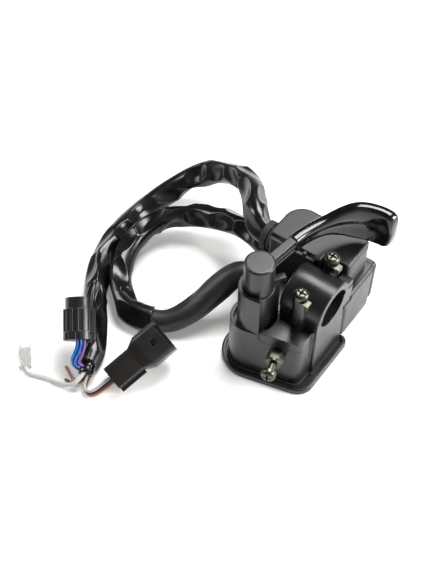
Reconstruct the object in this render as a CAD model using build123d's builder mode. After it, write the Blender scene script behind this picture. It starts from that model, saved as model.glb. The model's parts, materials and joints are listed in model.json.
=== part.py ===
"""Right-hand handlebar switch cluster with a thumb throttle.

The origin is the centre of the handlebar bore, halfway along the clamp. +X points towards the grip,
+Y towards the switch box, and +Z away from the cover that the part stands on. Lengths are millimetres.
"""

import os
from math import cos, pi, radians, sin, sqrt, tan

from build123d import *

# Fits
slip = 0.3
running = 0.05
thread_slack = 0.05
overrun = 2.0

# Handlebar clamp
bar_radius = 11.1
clamp_length = 24.0
cap_wall = 3.7
parting_gap = 0.5
clamp_screw_reach = 14.3
clamp_boss_radius = 3.9
cap_boss_height = 15.5
seat_depth = 13.5
shelf_depth = 7.0
edge_round = 0.8
recess_share = 0.6
recess_taper = 8

# Screws
m5_radius = 2.5
m5_head_radius = 4.0
m5_head_height = 3.4
m5_length = 24.0
m4_radius = 2.0
m4_head_radius = 3.9
m4_head_height = 2.8
m3_radius = 1.5
m3_head_radius = 2.8
m3_head_height = 2.0

# Throttle case
hub_x = -20.2
hub_y = -22.0
case_left = 35.2
case_back = 13.0
case_inset = 2.0
case_front_reach = 11.4
case_corner_radius = 12.0
case_nose_radius = 4.5
case_step_radius = 1.0
front_angle = 15.0
case_draft = 1.0
case_wall = 3.0
case_roof = 3.5
case_foot = 43.2
column_radius = 8.3
column_height = 17.0
shield_radius = 10.3
shield_height = 18.2
rib_angle = 52.0
rib_reach = 11.1
rib_width = 1.8
tower_radius = 14.0
tower_drop = 9.0
shield_edge_x = -12.7
shield_back_angle = 100.0
channel_margin = 1.3
pocket_rim = 1.8
pocket_depth = 5.0
lower_boss_length = 8.0

# Cover
cover_bottom = 46.5
cover_plate = 2.5
cover_rim_height = 4.0
cover_rim_width = 2.2
cover_lip_left = 4.3
cover_lip_right = 4.5
cover_lip_back = 3.0
cover_lip_front = 4.2
cover_left = case_left + cover_lip_left
cover_right = clamp_length / 2 + cover_lip_right
cover_back = case_back + cover_lip_back
cover_front_reach = case_front_reach + cover_lip_front
cover_corner_radius = 17.5
cover_nose_radius = 10.0
cover_back_radius = 4.5
gasket_lip = 0.6
cover_boss_radius = 3.6
cover_screw_depth = 12.0

# Bar seat, lock tabs and seat screws
shelf_cut_radius = 10.7
seat_screw_bite = 1.9
seat_screw_head_height = 2.4
tab_thickness = 0.8
tab_reach = 6.4
tab_drop = 2.6

# Lever
hub_radius = 7.8
hub_bottom = 17.3
hub_top = 36.5
hub_round = 1.2
shaft_radius = 4.0
shaft_grip = 12.0
bush_radius = 6.0
bush_length = 9.0
seal_height = 2.0
arm_thickness = 4.4
arm_low = 25.0
arm_high = 32.4
arm_groove = 1.1
arm_groove_height = 1.9
lever_reach = 74.0
grip_thickness = 6.6
grip_low = 24.0
grip_high = 33.4
paddle_thickness = 8.0
paddle_low = 15.4
paddle_high = 40.0
blade_cover = 2.2
lever_sweep = 33.0
lug_angle = 56.0
lug_reach = 14.2
lug_width = 3.4
lug_height = 2.6
lug_lift = 0.5

# Drum, spring and throttle switch
drum_radius = 10.0
drum_height = 5.0
drum_groove = 1.2
drum_hub_radius = 6.5
drum_flat = 4.5
drum_washer_radius = 5.7
drum_nut_bore = 3.0
stop_arm_reach = 18.0
stop_arm_root = 8.0
spring_wire = 0.7
spring_pitch = 1.9
spring_turns = 3
drum_washer_height = 1.0
drum_nut_across = 10.0
drum_nut_height = 5.0
throttle_switch_length = 13.0
throttle_switch_width = 7.0
throttle_switch_height = 8.0
throttle_switch_x = -20.0
throttle_switch_y = 2.0
m3_bite = 2.5

# Speed limiter in the front wall
limiter_x = -2.2
limiter_drop = 19.0
limiter_stem = 12.8
limiter_inside = 8.0
limiter_head_radius = 4.0
limiter_head_height = 3.8
spot_face = 0.2
limiter_nut_across = 8.0
limiter_nut_height = 6.0
limiter_flange_radius = 4.0
limiter_flange_height = 1.1
limiter_boss_radius = 4.5
limiter_boss_length = 3.0

# Throttle cable entry in the left wall
cable_entry_radius = 4.0
cable_boss_radius = 6.6
cable_boss_length = 4.8
cable_entry_drop = 28.0

# Switch box
box_front = 13.0
box_lower_front = 13.3
box_left = 38.6
box_upper_right = 8.0
box_upper_top = 11.0
box_upper_back = 41.0
box_joint_depth = 9.5
box_notch_y = 19.6
box_notch_x = 7.0
box_left_radius = 11.0
box_corner_radius = 3.0
box_top_round = 2.8
box_wall = 2.5
box_ledge_width = 2.6
box_ledge_drop = 2.2
box_bottom = 41.0
box_lower_left = 36.8
box_lower_back = 43.8
panel_thickness = 3.2
panel_inset = 0.6
pillar_x = 4.6
box_post_radius = 3.6
box_screw_bite = 12.0
box_head_recess = 3.2
box_mount_bite = 6.0
box_mount_left = 20.0
box_mount_right = 1.5
box_mount_drop = 34.0
panel_block = 6.4
panel_block_depth = 6.4
m3_length = 7.6

# Switches on the rear panel
selector_x = -21.0
selector_travel = 6.0
selector_width = 8.0
selector_height = 11.0
selector_proud = 4.0
selector_stem = 3.0
button_x = -1.0
button_radius = 6.0
button_travel = 2.5
button_proud = 3.4
button_ring_radius = 8.6
button_ring_proud = 1.8
button_collar = 2.0
ring_sleeve_radius = 7.2
button_collar_radius = 7.4
button_spring_wire = 0.35
button_spring_radius = 3.0
switch_row_drop = 25.5
button_spring_turns = 3
switch_base_thickness = 2.4
contact_thickness = 0.8
carrier_width = 11.0
carrier_depth = 6.0
carrier_height = 11.0
ball_radius = 1.4
detent_spring_wire = 0.25
detent_spring_turns = 3

# Harness
main_radius = 6.2
link_radius = 5.4
lead_radius = 6.1
wire_radius = 0.8
sense_radius = 1.2
arc_share = 0.45
grommet_step = 1.6
grommet_flange = 2.0
tape_radius = 4.6
tie_x = 41.2
tie_width = 3.6
tie_thickness = 1.3

# Connectors
round_radius = 8.6
round_neck_radius = 7.4
round_collar_length = 4.4
round_body_length = 12.0
round_neck_length = 6.2
round_wall = 1.5
round_mouth_depth = 5.6
round_heading = 38.0
round_tilt = 30.0
rib_height = 0.6
square_length = 16.3
square_width = 13.4
square_height = 11.6
collar_length = 14.6
collar_width = 19.6
collar_height = 14.6
collar_wall = 1.8
collar_depth = 12.0
shoulder_length = 5.6
collar_round = 3.4
square_heading = 18.0
square_tilt = 20.0
square_roll = 21.0
blade_share = 0.45
pin_radius = 0.8
cover_heading = 43.0
terminal_share = 0.6
terminal_length = 13.7
terminal_width = 6.6
terminal_height = 3.4
terminal_wall = 0.7

clamp_half = clamp_length / 2
clamp_half_width = bar_radius + cap_wall
seat_base = -seat_depth
foot_z = -case_foot
floor_z = -cover_bottom
cover_top = floor_z + cover_plate
cavity_top = seat_base - case_roof
lower_boss_end = cavity_top - lower_boss_length
front_normal = Vector(sin(radians(front_angle)), -cos(radians(front_angle)), 0)
front_tangent = Vector(cos(radians(front_angle)), sin(radians(front_angle)), 0)
hub_axis = Vector(hub_x, hub_y, 0)


def front_y(x, reach):
    """y on the slanted line that passes in front of the pivot axis at the given distance."""
    return hub_y + (x - hub_x) * tan(radians(front_angle)) - reach / cos(radians(front_angle))


def direction(heading, tilt):
    """Unit vector at a heading from +Y towards +X and a tilt upwards, in degrees."""
    flat = cos(radians(tilt))
    return Vector(sin(radians(heading)) * flat, cos(radians(heading)) * flat, sin(radians(tilt)))


def case_outline(inset):
    """Outline of the throttle case, moved inwards by inset."""
    left = -case_left + inset
    back = case_back - inset
    right = clamp_half - inset
    nose = clamp_half - case_inset - inset
    step = -clamp_half_width + inset
    reach = case_front_reach - inset
    corners = [
        (left, back),
        (left, front_y(left, reach)),
        (nose, front_y(nose, reach)),
        (nose, step),
        (right, step),
        (right, back),
    ]
    corner = case_corner_radius - inset
    nose_round = max(case_nose_radius - inset, case_step_radius)
    radii = [0, corner, nose_round, case_step_radius, case_step_radius, 0]
    with BuildSketch() as outline:
        with BuildLine():
            FilletPolyline(*corners, radius=radii, close=True)
        make_face()
    return outline.sketch


def tower_outline(inset):
    """Outline of the wall round the pivot column, moved inwards by inset."""
    shift = tan(radians(case_draft)) * (case_foot - seat_depth)
    with BuildSketch() as outline:
        add(case_outline(shift + inset))
        with Locations((shield_edge_x, -bar_radius - channel_margin - inset)):
            Rectangle(case_left, case_left, align=(Align.MAX, Align.MAX), mode=Mode.INTERSECT)
        with BuildSketch(mode=Mode.INTERSECT):
            with Locations((hub_x, hub_y)):
                Circle(tower_radius - inset)
                Rectangle(case_left, 2 * case_left, align=(Align.MIN, Align.CENTER))
    return outline.sketch


def cover_outline(inset):
    """Outline of the flanged cover, moved inwards by inset."""
    left = -cover_left + inset
    right = cover_right - inset
    back = cover_back - inset
    reach = cover_front_reach - inset
    corners = [
        (left, back),
        (left, front_y(left, reach)),
        (right, front_y(right, reach)),
        (right, back),
    ]
    radii = [
        max(cover_back_radius - inset, case_step_radius),
        cover_corner_radius - inset,
        cover_nose_radius - inset,
        max(cover_back_radius - inset, case_step_radius),
    ]
    with BuildSketch() as outline:
        with BuildLine():
            FilletPolyline(*corners, radius=radii, close=True)
        make_face()
    return outline.sketch


def repeated(piece, places):
    """The same solid at each place, as one group."""
    with BuildPart() as group:
        with Locations(*places):
            add(piece)
    return group.part


def pan_screw(shank_radius, shank_length, head_radius, head_height):
    """Pan-head screw with a cross recess: the head sits on the XY plane, the shank points down."""
    recess = head_radius * 0.62
    slot = head_radius * 0.24
    with BuildPart() as screw:
        Cylinder(head_radius, head_height, align=(Align.CENTER, Align.CENTER, Align.MIN))
        fillet(screw.faces().sort_by(Axis.Z)[-1].edges(), head_height * 0.62)
        Cylinder(shank_radius, shank_length, align=(Align.CENTER, Align.CENTER, Align.MAX))
        tip = screw.faces().sort_by(Axis.Z)[0]
        chamfer(tip.edges(), shank_radius * 0.3)
        with BuildSketch(Plane.XY.offset(head_height)):
            Rectangle(2 * recess, slot)
            Rectangle(slot, 2 * recess)
        extrude(amount=-head_height * recess_share, taper=recess_taper, mode=Mode.SUBTRACT)
    return screw.part


def flat_screw(shank_radius, shank_length, head_radius):
    """Countersunk screw: the head's flat face lies on the XY plane, the shank points up."""
    cone = head_radius - shank_radius
    slot = head_radius * 0.22
    with BuildPart() as screw:
        with BuildSketch(Plane.XZ):
            with BuildLine():
                Polyline(
                    (0, 0),
                    (head_radius, 0),
                    (shank_radius, cone),
                    (shank_radius, shank_length),
                    (0, shank_length),
                    close=True,
                )
            make_face()
        revolve(axis=Axis.Z)
        with BuildSketch(Plane.XY):
            Rectangle(head_radius, slot)
            Rectangle(slot, head_radius)
        extrude(amount=cone * 0.7, mode=Mode.SUBTRACT)
    return screw.part


def shield_wedge():
    """The side of the pivot column that the shield wall leaves open, as a sketch polygon."""
    edge = Vector(shield_edge_x, front_y(shield_edge_x, case_front_reach - overrun / 4), 0)
    out = (edge - hub_axis).normalized() * (3 * shield_radius)
    back = Vector(cos(radians(shield_back_angle)), sin(radians(shield_back_angle)), 0)
    far = hub_axis + back * (3 * shield_radius)
    side = hub_axis + Vector(3 * shield_radius, 0, 0)
    Polygon(
        (hub_x, hub_y),
        ((hub_axis + out).X, (hub_axis + out).Y),
        (side.X, (hub_axis + out).Y),
        (side.X, far.Y),
        (far.X, far.Y),
        align=None,
        mode=Mode.SUBTRACT,
    )


boss_seat = 0.7 * cover_boss_radius
cover_screw_places = [
    (-case_left + case_wall + boss_seat, case_back - case_wall - boss_seat),
    (clamp_half - case_wall - boss_seat, case_back - case_wall - boss_seat),
    (clamp_half - case_inset - case_wall - boss_seat, -clamp_half_width - boss_seat),
]
seat_screw_places = [
    (-clamp_half / 2, -m5_radius),
    (clamp_half - case_wall - m5_head_radius - 3 * slip, -m5_radius),
]
cable_entry_y = hub_y + drum_radius
limiter_y = front_y(limiter_x, case_front_reach - tan(radians(case_draft)) * (case_foot - limiter_drop))
limiter_plane = Plane(
    origin=(limiter_x, limiter_y, -limiter_drop), x_dir=front_tangent, z_dir=front_normal
)
# the stop arm meets the limiter's tip at full throttle, one sweep away from rest
limiter_tip = limiter_plane.origin - front_normal * limiter_inside
inward = -front_normal
stop_arm_half = -(limiter_tip - hub_axis).dot(inward) - slip
drum_top = lower_boss_end - slip
drum_bottom = drum_top - drum_height
shaft_bottom = drum_bottom - drum_washer_height - drum_nut_height - overrun / 2
spring_radius = drum_nut_across / sqrt(3) + slip + spring_wire
lead_exit_y = 4.0
lead_exit_z = -22.5
main_exit_y = 22.0
main_exit_z = -1.0
link_exit_y = 25.5
link_exit_z = -17.5
lead_exit = Vector(-case_left, lead_exit_y, lead_exit_z)
main_exit = Vector(-box_left, main_exit_y, main_exit_z)
link_exit = Vector(-box_lower_left, link_exit_y, link_exit_z)
box_mount_xs = [-box_mount_left, -box_mount_right]
box_mount_planes = [
    Plane(origin=(x, case_back, -box_mount_drop), z_dir=(0, 1, 0)) for x in box_mount_xs
]
post_seat = box_wall + 0.7 * box_post_radius
box_post_places = [
    (-box_lower_left + box_wall + box_post_radius + slip, box_lower_front + post_seat),
    (-box_notch_x - box_post_radius - slip, box_lower_front + post_seat),
    (box_upper_right - post_seat, box_notch_y + post_seat + box_post_radius),
]
panel_left = -box_lower_left + box_wall + panel_block / 2 - running
panel_right = clamp_half - box_wall - panel_block / 2 + running
panel_low = -box_bottom + box_wall + panel_block / 2 - running
panel_high = -box_joint_depth - box_wall - panel_block / 2 + running
panel_screw_places = [
    (x, z) for x in (panel_left, panel_right) for z in (panel_low, panel_high)
]
panel_back = box_lower_back + panel_thickness
carrier_back = box_lower_back - slip
contact_top = carrier_back - carrier_depth - slip
base_top = contact_top - contact_thickness
detent_mouth = (selector_x + carrier_width / 3, carrier_back, -switch_row_drop)


def make_throttle_case():
    """The die-cast case with the pivot column, the shield wall and the crescent pocket."""
    shift = tan(radians(case_draft)) * (case_foot - seat_depth)
    with BuildPart() as case:
        with BuildSketch(Plane.XY.offset(foot_z)):
            add(case_outline(0))
        with BuildSketch(Plane.XY.offset(seat_base)):
            add(case_outline(shift))
        loft(ruled=True)
        # round wall of the tower, outside the pocket
        with BuildSketch(Plane.XY.offset(seat_base)):
            add(tower_outline(0))
        extrude(amount=seat_depth - tower_drop)
        # shield wall round the column
        with BuildSketch(Plane.XY.offset(seat_base)):
            with Locations((hub_x, hub_y)):
                Circle(shield_radius)
            with BuildLine():
                touch = hub_axis + front_normal * shield_radius
                edge_y = front_y(shield_edge_x, case_front_reach - shift)
                Polyline((hub_x, hub_y), (touch.X, touch.Y), (shield_edge_x, edge_y), close=True)
            make_face()
            shield_wedge()
        extrude(amount=shield_height + seat_depth)
        with Locations((hub_x, hub_y, seat_base)):
            Cylinder(
                column_radius,
                seat_depth + column_height,
                align=(Align.CENTER, Align.CENTER, Align.MIN),
            )
        # rib on the side of the clamp
        rib_plane = Plane(
            origin=(hub_x, hub_y, seat_base),
            x_dir=(cos(radians(rib_angle)), sin(radians(rib_angle)), 0),
            z_dir=(0, 0, 1),
        )
        with BuildSketch(rib_plane):
            Rectangle(rib_reach, rib_width, align=(Align.MIN, Align.CENTER))
        extrude(amount=seat_depth + column_height)
        # room for the hub inside the shield
        with Locations((hub_x, hub_y, column_height)):
            Cylinder(
                hub_radius + 2 * slip,
                shield_height,
                align=(Align.CENTER, Align.CENTER, Align.MIN),
                mode=Mode.SUBTRACT,
            )
        # crescent pocket between the outer wall and the column
        with BuildSketch(Plane.XY.offset(-tower_drop)):
            add(tower_outline(pocket_rim))
            with Locations((hub_x, hub_y)):
                Circle(shield_radius, mode=Mode.SUBTRACT)
            with Locations(hub_axis + front_normal * shield_radius):
                Rectangle(
                    case_left,
                    case_left,
                    rotation=front_angle,
                    align=(Align.MIN, Align.CENTER),
                    mode=Mode.SUBTRACT,
                )
        extrude(amount=-pocket_depth, mode=Mode.SUBTRACT)
        # cavity
        with BuildSketch(Plane.XY.offset(foot_z)):
            add(case_outline(case_wall))
        with BuildSketch(Plane.XY.offset(cavity_top)):
            add(case_outline(case_wall + shift))
        loft(ruled=True, mode=Mode.SUBTRACT)
        with Locations((hub_x, hub_y, lower_boss_end)):
            Cylinder(
                column_radius,
                lower_boss_length + case_roof / 2,
                align=(Align.CENTER, Align.CENTER, Align.MIN),
            )
        with Locations(*[(x, y, foot_z) for x, y in cover_screw_places]):
            Cylinder(
                cover_boss_radius,
                cavity_top - foot_z + case_roof / 2,
                align=(Align.CENTER, Align.CENTER, Align.MIN),
            )
        # boss of the cable entry, flush with the outer wall
        entry = Plane(origin=(-case_left, cable_entry_y, -cable_entry_drop), z_dir=(1, 0, 0))
        with Locations(entry):
            Cylinder(
                cable_boss_radius,
                cable_boss_length,
                align=(Align.CENTER, Align.CENTER, Align.MIN),
            )
            Cylinder(cable_entry_radius, 4 * cable_boss_length, mode=Mode.SUBTRACT)
        # boss and thread of the speed limiter
        with Locations(limiter_plane):
            Cylinder(
                limiter_boss_radius,
                case_wall + limiter_boss_length,
                align=(Align.CENTER, Align.CENTER, Align.MAX),
            )
            Cylinder(m4_radius + running, 2 * limiter_stem, mode=Mode.SUBTRACT)
        # bores for the shaft, its bushes and the seal
        with Locations((hub_x, hub_y, 0)):
            Cylinder(shaft_radius + slip, 4 * case_foot, mode=Mode.SUBTRACT)
        with Locations((hub_x, hub_y, column_height - seal_height - bush_length)):
            Cylinder(
                bush_radius,
                case_foot,
                align=(Align.CENTER, Align.CENTER, Align.MIN),
                mode=Mode.SUBTRACT,
            )
        with Locations((hub_x, hub_y, lower_boss_end + bush_length)):
            Cylinder(
                bush_radius,
                case_foot,
                align=(Align.CENTER, Align.CENTER, Align.MAX),
                mode=Mode.SUBTRACT,
            )
        with Locations(*[(x, y, foot_z) for x, y in cover_screw_places]):
            Cylinder(m4_radius + thread_slack, 2 * cover_screw_depth, mode=Mode.SUBTRACT)
        with Locations(*[(x, y, seat_base) for x, y in seat_screw_places]):
            Cylinder(m5_radius + slip, 4 * case_roof, mode=Mode.SUBTRACT)
        with Locations((throttle_switch_x, throttle_switch_y, cavity_top)):
            Cylinder(m3_radius + thread_slack, 2 * m3_bite, mode=Mode.SUBTRACT)
        # opening of the lead into the case
        with Locations(Plane(origin=tuple(lead_exit), z_dir=(1, 0, 0))):
            Cylinder(lead_radius + slip, 4 * case_wall, mode=Mode.SUBTRACT)
        # holes of the screws that hold the switch box
        with Locations(*box_mount_planes):
            Cylinder(m4_radius + thread_slack, 2 * box_mount_bite, mode=Mode.SUBTRACT)
    return case.part


def make_case_cover():
    """Flanged cover with a raised rim; the screws enter from below."""
    with BuildPart() as cover:
        with BuildSketch(Plane.XY.offset(floor_z)):
            add(cover_outline(0))
        extrude(amount=cover_rim_height)
        outer = cover.faces().filter_by(Axis.Z).sort_by(Axis.Z)
        fillet(outer[-1].edges(), edge_round)
        chamfer(outer[0].edges(), edge_round / 2)
        with BuildSketch(Plane.XY.offset(cover_top)):
            add(cover_outline(cover_rim_width))
        extrude(amount=cover_rim_height, mode=Mode.SUBTRACT)
        for x, y in cover_screw_places:
            with Locations(Plane(origin=(x, y, floor_z), z_dir=(0, 0, -1))):
                CounterSinkHole(m4_radius + slip, m4_head_radius + slip, depth=2 * cover_plate)
    return cover.part


def make_cover_gasket():
    """Thin seal between the cover plate and the foot of the case, proud of the foot all round."""
    with BuildPart() as gasket:
        with BuildSketch(Plane.XY.offset(cover_top)):
            add(case_outline(-gasket_lip))
            with Locations(*cover_screw_places):
                Circle(m4_radius + slip, mode=Mode.SUBTRACT)
        extrude(amount=foot_z - cover_top)
        with BuildSketch(Plane.XY.offset(cover_top)):
            add(case_outline(case_wall))
            with Locations(*cover_screw_places):
                Circle(cover_boss_radius, mode=Mode.SUBTRACT)
        extrude(amount=foot_z - cover_top, mode=Mode.SUBTRACT)
    return gasket.part


def make_cover_screws():
    screw = flat_screw(m4_radius, cover_screw_depth, m4_head_radius)
    return repeated(screw, [(x, y, floor_z) for x, y in cover_screw_places])


def make_bar_seat():
    """Lower half of the clamp, the shelf beside the pivot column, and the lever stop post."""
    rise = seat_depth - parting_gap / 2
    shift = tan(radians(case_draft)) * (case_foot - seat_depth)
    with BuildPart() as seat:
        with BuildSketch(Plane.XY.offset(seat_base)):
            with Locations((0, case_back - shift)):
                Rectangle(
                    clamp_length - 2 * shift,
                    case_back + clamp_half_width - 2 * shift,
                    align=(Align.CENTER, Align.MAX),
                )
        extrude(amount=rise)
        # shelf in front, with its cut-out round the column
        with BuildSketch(Plane.XY.offset(seat_base)):
            add(case_outline(shift))
            with Locations((shield_edge_x + slip, -clamp_half_width / 2)):
                Rectangle(case_left, case_left, align=(Align.MIN, Align.MAX), mode=Mode.INTERSECT)
            with Locations((hub_x, hub_y)):
                Circle(shelf_cut_radius, mode=Mode.SUBTRACT)
        extrude(amount=seat_depth - shelf_depth)
        # pillar at the back, beside the switch box
        with Locations((clamp_half - shift, clamp_half_width / 2, seat_base)):
            Box(
                clamp_half - shift - pillar_x,
                box_notch_y - slip - clamp_half_width / 2,
                rise,
                align=(Align.MAX, Align.MIN, Align.MIN),
            )
        # round bosses of the clamp screws
        with Locations((0, clamp_screw_reach, seat_base), (0, -clamp_screw_reach, seat_base)):
            Cylinder(clamp_boss_radius, rise, align=(Align.CENTER, Align.CENTER, Align.MIN))
        with Locations(Plane.YZ):
            Cylinder(bar_radius, 2 * case_left, mode=Mode.SUBTRACT)
        with Locations((0, clamp_screw_reach, seat_base), (0, -clamp_screw_reach, seat_base)):
            Cylinder(m5_radius + thread_slack, 4 * seat_depth, mode=Mode.SUBTRACT)
        with Locations(*[(x, y, seat_base) for x, y in seat_screw_places]):
            Cylinder(m5_radius + thread_slack, 2 * seat_screw_bite, mode=Mode.SUBTRACT)
    return seat.part


def make_seat_screws():
    """Low-head screws from inside the case up into the bar seat."""
    screw = pan_screw(m5_radius, case_roof + seat_screw_bite, m5_head_radius, seat_screw_head_height)
    places = [Plane(origin=(x, y, cavity_top), z_dir=(0, 0, -1)) for x, y in seat_screw_places]
    return repeated(screw, [Location(place) for place in places])


def make_clamp_cap():
    """Upper half of the clamp with a round boss at each screw."""
    base = parting_gap / 2
    with BuildPart() as cap:
        with BuildSketch(Plane.YZ.offset(-clamp_half)):
            Circle(clamp_half_width)
            with Locations((0, base)):
                Rectangle(
                    4 * clamp_half_width,
                    2 * clamp_half_width,
                    align=(Align.CENTER, Align.MIN),
                    mode=Mode.INTERSECT,
                )
        extrude(amount=clamp_length)
        ends = cap.faces().filter_by(Axis.X)
        fillet(ends.edges().filter_by(GeomType.CIRCLE), edge_round)
        with Locations((0, clamp_screw_reach, base), (0, -clamp_screw_reach, base)):
            Cylinder(
                clamp_boss_radius,
                cap_boss_height - base,
                align=(Align.CENTER, Align.CENTER, Align.MIN),
            )
        # low ears that carry the bosses on the joint
        with Locations((0, 0, base)):
            Box(
                2 * clamp_boss_radius,
                2 * clamp_screw_reach,
                cap_wall,
                align=(Align.CENTER, Align.CENTER, Align.MIN),
            )
        # rear ear beside the switch box
        with Locations((clamp_half - edge_round, bar_radius, base)):
            Box(
                clamp_half - edge_round - pillar_x,
                box_notch_y - slip - bar_radius,
                cap_wall + base,
                align=(Align.MAX, Align.MIN, Align.MIN),
            )
        with Locations(Plane.YZ):
            Cylinder(bar_radius, 2 * clamp_length, mode=Mode.SUBTRACT)
        with Locations((0, clamp_screw_reach, 0), (0, -clamp_screw_reach, 0)):
            Cylinder(m5_radius + slip, 4 * cap_boss_height, mode=Mode.SUBTRACT)
    return cap.part


def make_clamp_tabs():
    """Lock tabs under the clamp screws, each with one corner bent down."""
    with BuildPart() as tab:
        with BuildSketch():
            Circle(m5_head_radius)
            with Locations((0, 0)):
                Rectangle(tab_reach, m5_head_radius, align=(Align.MIN, Align.MAX))
            Circle(m5_radius + slip, mode=Mode.SUBTRACT)
        extrude(amount=tab_thickness)
        with Locations((tab_reach, 0, 0)):
            Box(
                tab_thickness,
                m5_head_radius,
                tab_drop,
                align=(Align.MAX, Align.MAX, Align.MAX),
            )
    places = [(0, side * clamp_screw_reach, cap_boss_height) for side in (1, -1)]
    return repeated(tab.part, places)


def make_clamp_screws():
    screw = pan_screw(m5_radius, m5_length, m5_head_radius, m5_head_height)
    top = cap_boss_height + tab_thickness
    return repeated(screw, [(0, side * clamp_screw_reach, top) for side in (1, -1)])


# Stations along the lever: centre of the section as shares of the lever's reach from the pivot,
# heading in degrees from +X, and how far the section and its top edge have grown from arm to paddle.
lever_path_shares = [
    (0.044, 0.335),
    (0.060, 0.415),
    (0.093, 0.515),
    (0.135, 0.605),
    (0.190, 0.690),
    (0.255, 0.760),
    (0.330, 0.808),
    (0.420, 0.833),
    (0.490, 0.836),
    (0.540, 0.830),
]
lever_headings = [84, 76, 68, 60, 52, 41, 27, 9, -1, -6]
lever_growth_shares = [0, 0, 0.02, 0.14, 0.48, 0.84, 1.0, 1.0, 0.96, 0.80]
lever_rise_shares = [0, 0, 0.05, 0.20, 0.60, 0.94, 1.0, 1.0, 0.96, 0.84]
blade_stations = 7


def lever_section(share, heading, growth, rise, small, large):
    """One rounded section across the lever; small and large are (thickness, low, high)."""
    thickness = small[0] + growth * (large[0] - small[0])
    low = small[1] + growth * (large[1] - small[1])
    high = small[2] + rise * (large[2] - small[2])
    centre = (
        hub_x + share[0] * lever_reach,
        hub_y + share[1] * lever_reach,
        (low + high) / 2,
    )
    along = (cos(radians(heading)), sin(radians(heading)), 0)
    plane = Plane(origin=centre, x_dir=(along[1], -along[0], 0), z_dir=along)
    with BuildSketch(plane) as section:
        RectangleRounded(thickness, high - low, thickness * 0.42)
    return section.sketch


def lever_body(count, small, large):
    """Loft through the first sections of the lever."""
    rows = zip(lever_path_shares, lever_headings, lever_growth_shares, lever_rise_shares)
    stations = list(rows)[:count]
    sections = [lever_section(*station, small, large) for station in stations]
    with BuildPart() as body:
        add(sections)
        loft()
    return body.part


grip_small = (grip_thickness, grip_low, grip_high)
grip_large = (paddle_thickness, paddle_low, paddle_high)
core_small = (arm_thickness, arm_low, arm_high)
core_large = (
    paddle_thickness - 2 * blade_cover,
    paddle_low + blade_cover,
    paddle_high - blade_cover,
)


def make_lever_core():
    """The metal blade inside the grip cover."""
    return lever_body(blade_stations, core_small, core_large)


def make_lever_grip(core):
    """Glossy cover of the arm and paddle, with the blade's space inside."""
    with BuildPart() as grip:
        add(lever_body(len(lever_headings), grip_small, grip_large))
        rim = grip.faces().sort_by(Axis.X)[-1]
        fillet(rim.edges(), paddle_thickness * 0.3)
        add(core, mode=Mode.SUBTRACT)
    return grip.part


def make_thumb_lever(core):
    """Hub, ribbed arm and blade in one piece."""
    start = lever_path_shares[0]
    far = Vector(hub_x + start[0] * lever_reach, hub_y + start[1] * lever_reach, 0)
    along = (far - hub_axis).normalized()
    arm_plane = Plane(
        origin=(hub_x, hub_y, arm_low), x_dir=tuple(along), z_dir=(0, 0, 1)
    )
    length = (far - hub_axis).length
    with BuildPart() as lever:
        with Locations((hub_x, hub_y, hub_bottom)):
            Cylinder(hub_radius, hub_top - hub_bottom, align=(Align.CENTER, Align.CENTER, Align.MIN))
        fillet(lever.faces().sort_by(Axis.Z)[-1].edges(), hub_round)
        with BuildSketch(arm_plane):
            Rectangle(length, arm_thickness, align=(Align.MIN, Align.CENTER))
        extrude(amount=arm_high - arm_low)
        # two grooves leave three ribs on each side of the arm
        for height_share in (0.3, 0.7):
            height = arm_low + height_share * (arm_high - arm_low)
            for side in (1, -1):
                groove = Plane(
                    origin=(hub_x, hub_y, height), x_dir=tuple(along), z_dir=(0, 0, 1)
                )
                with Locations(groove):
                    with Locations((hub_radius + slip, side * arm_thickness / 2, 0)):
                        Box(
                            length - hub_radius - 2 * slip,
                            2 * arm_groove,
                            arm_groove_height,
                            align=(Align.MIN, Align.CENTER, Align.CENTER),
                            mode=Mode.SUBTRACT,
                        )
        add(core)
        lug_plane = Plane(
            origin=(hub_x, hub_y, hub_bottom + lug_lift),
            x_dir=(cos(radians(lug_angle)), sin(radians(lug_angle)), 0),
            z_dir=(0, 0, 1),
        )
        with BuildSketch(lug_plane):
            Rectangle(lug_reach, lug_width, align=(Align.MIN, Align.CENTER))
        extrude(amount=lug_height)
        with Locations((hub_x, hub_y, hub_bottom)):
            Cylinder(
                shaft_radius,
                shaft_grip,
                align=(Align.CENTER, Align.CENTER, Align.MIN),
                mode=Mode.SUBTRACT,
            )
    return lever.part


def make_pivot_shaft():
    with BuildPart() as shaft:
        with Locations((hub_x, hub_y, drum_bottom)):
            Cylinder(
                shaft_radius,
                hub_bottom + shaft_grip - drum_bottom,
                align=(Align.CENTER, Align.CENTER, Align.MIN),
            )
            Cylinder(
                drum_nut_bore,
                drum_bottom - shaft_bottom,
                align=(Align.CENTER, Align.CENTER, Align.MAX),
            )
        chamfer(shaft.edges().group_by(Axis.Z)[0], shaft_radius / 8)
    return shaft.part


def make_bush(low):
    """Plain bearing with running clearance on the shaft."""
    with BuildPart() as bush:
        with Locations((hub_x, hub_y, low)):
            Cylinder(bush_radius, bush_length, align=(Align.CENTER, Align.CENTER, Align.MIN))
            Cylinder(shaft_radius + running, 4 * bush_length, mode=Mode.SUBTRACT)
    return bush.part


def make_shaft_seal():
    with BuildPart() as seal:
        with Locations((hub_x, hub_y, column_height - seal_height)):
            Cylinder(bush_radius, seal_height, align=(Align.CENTER, Align.CENTER, Align.MIN))
            Cylinder(shaft_radius + running, 4 * seal_height, mode=Mode.SUBTRACT)
    return seal.part




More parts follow.
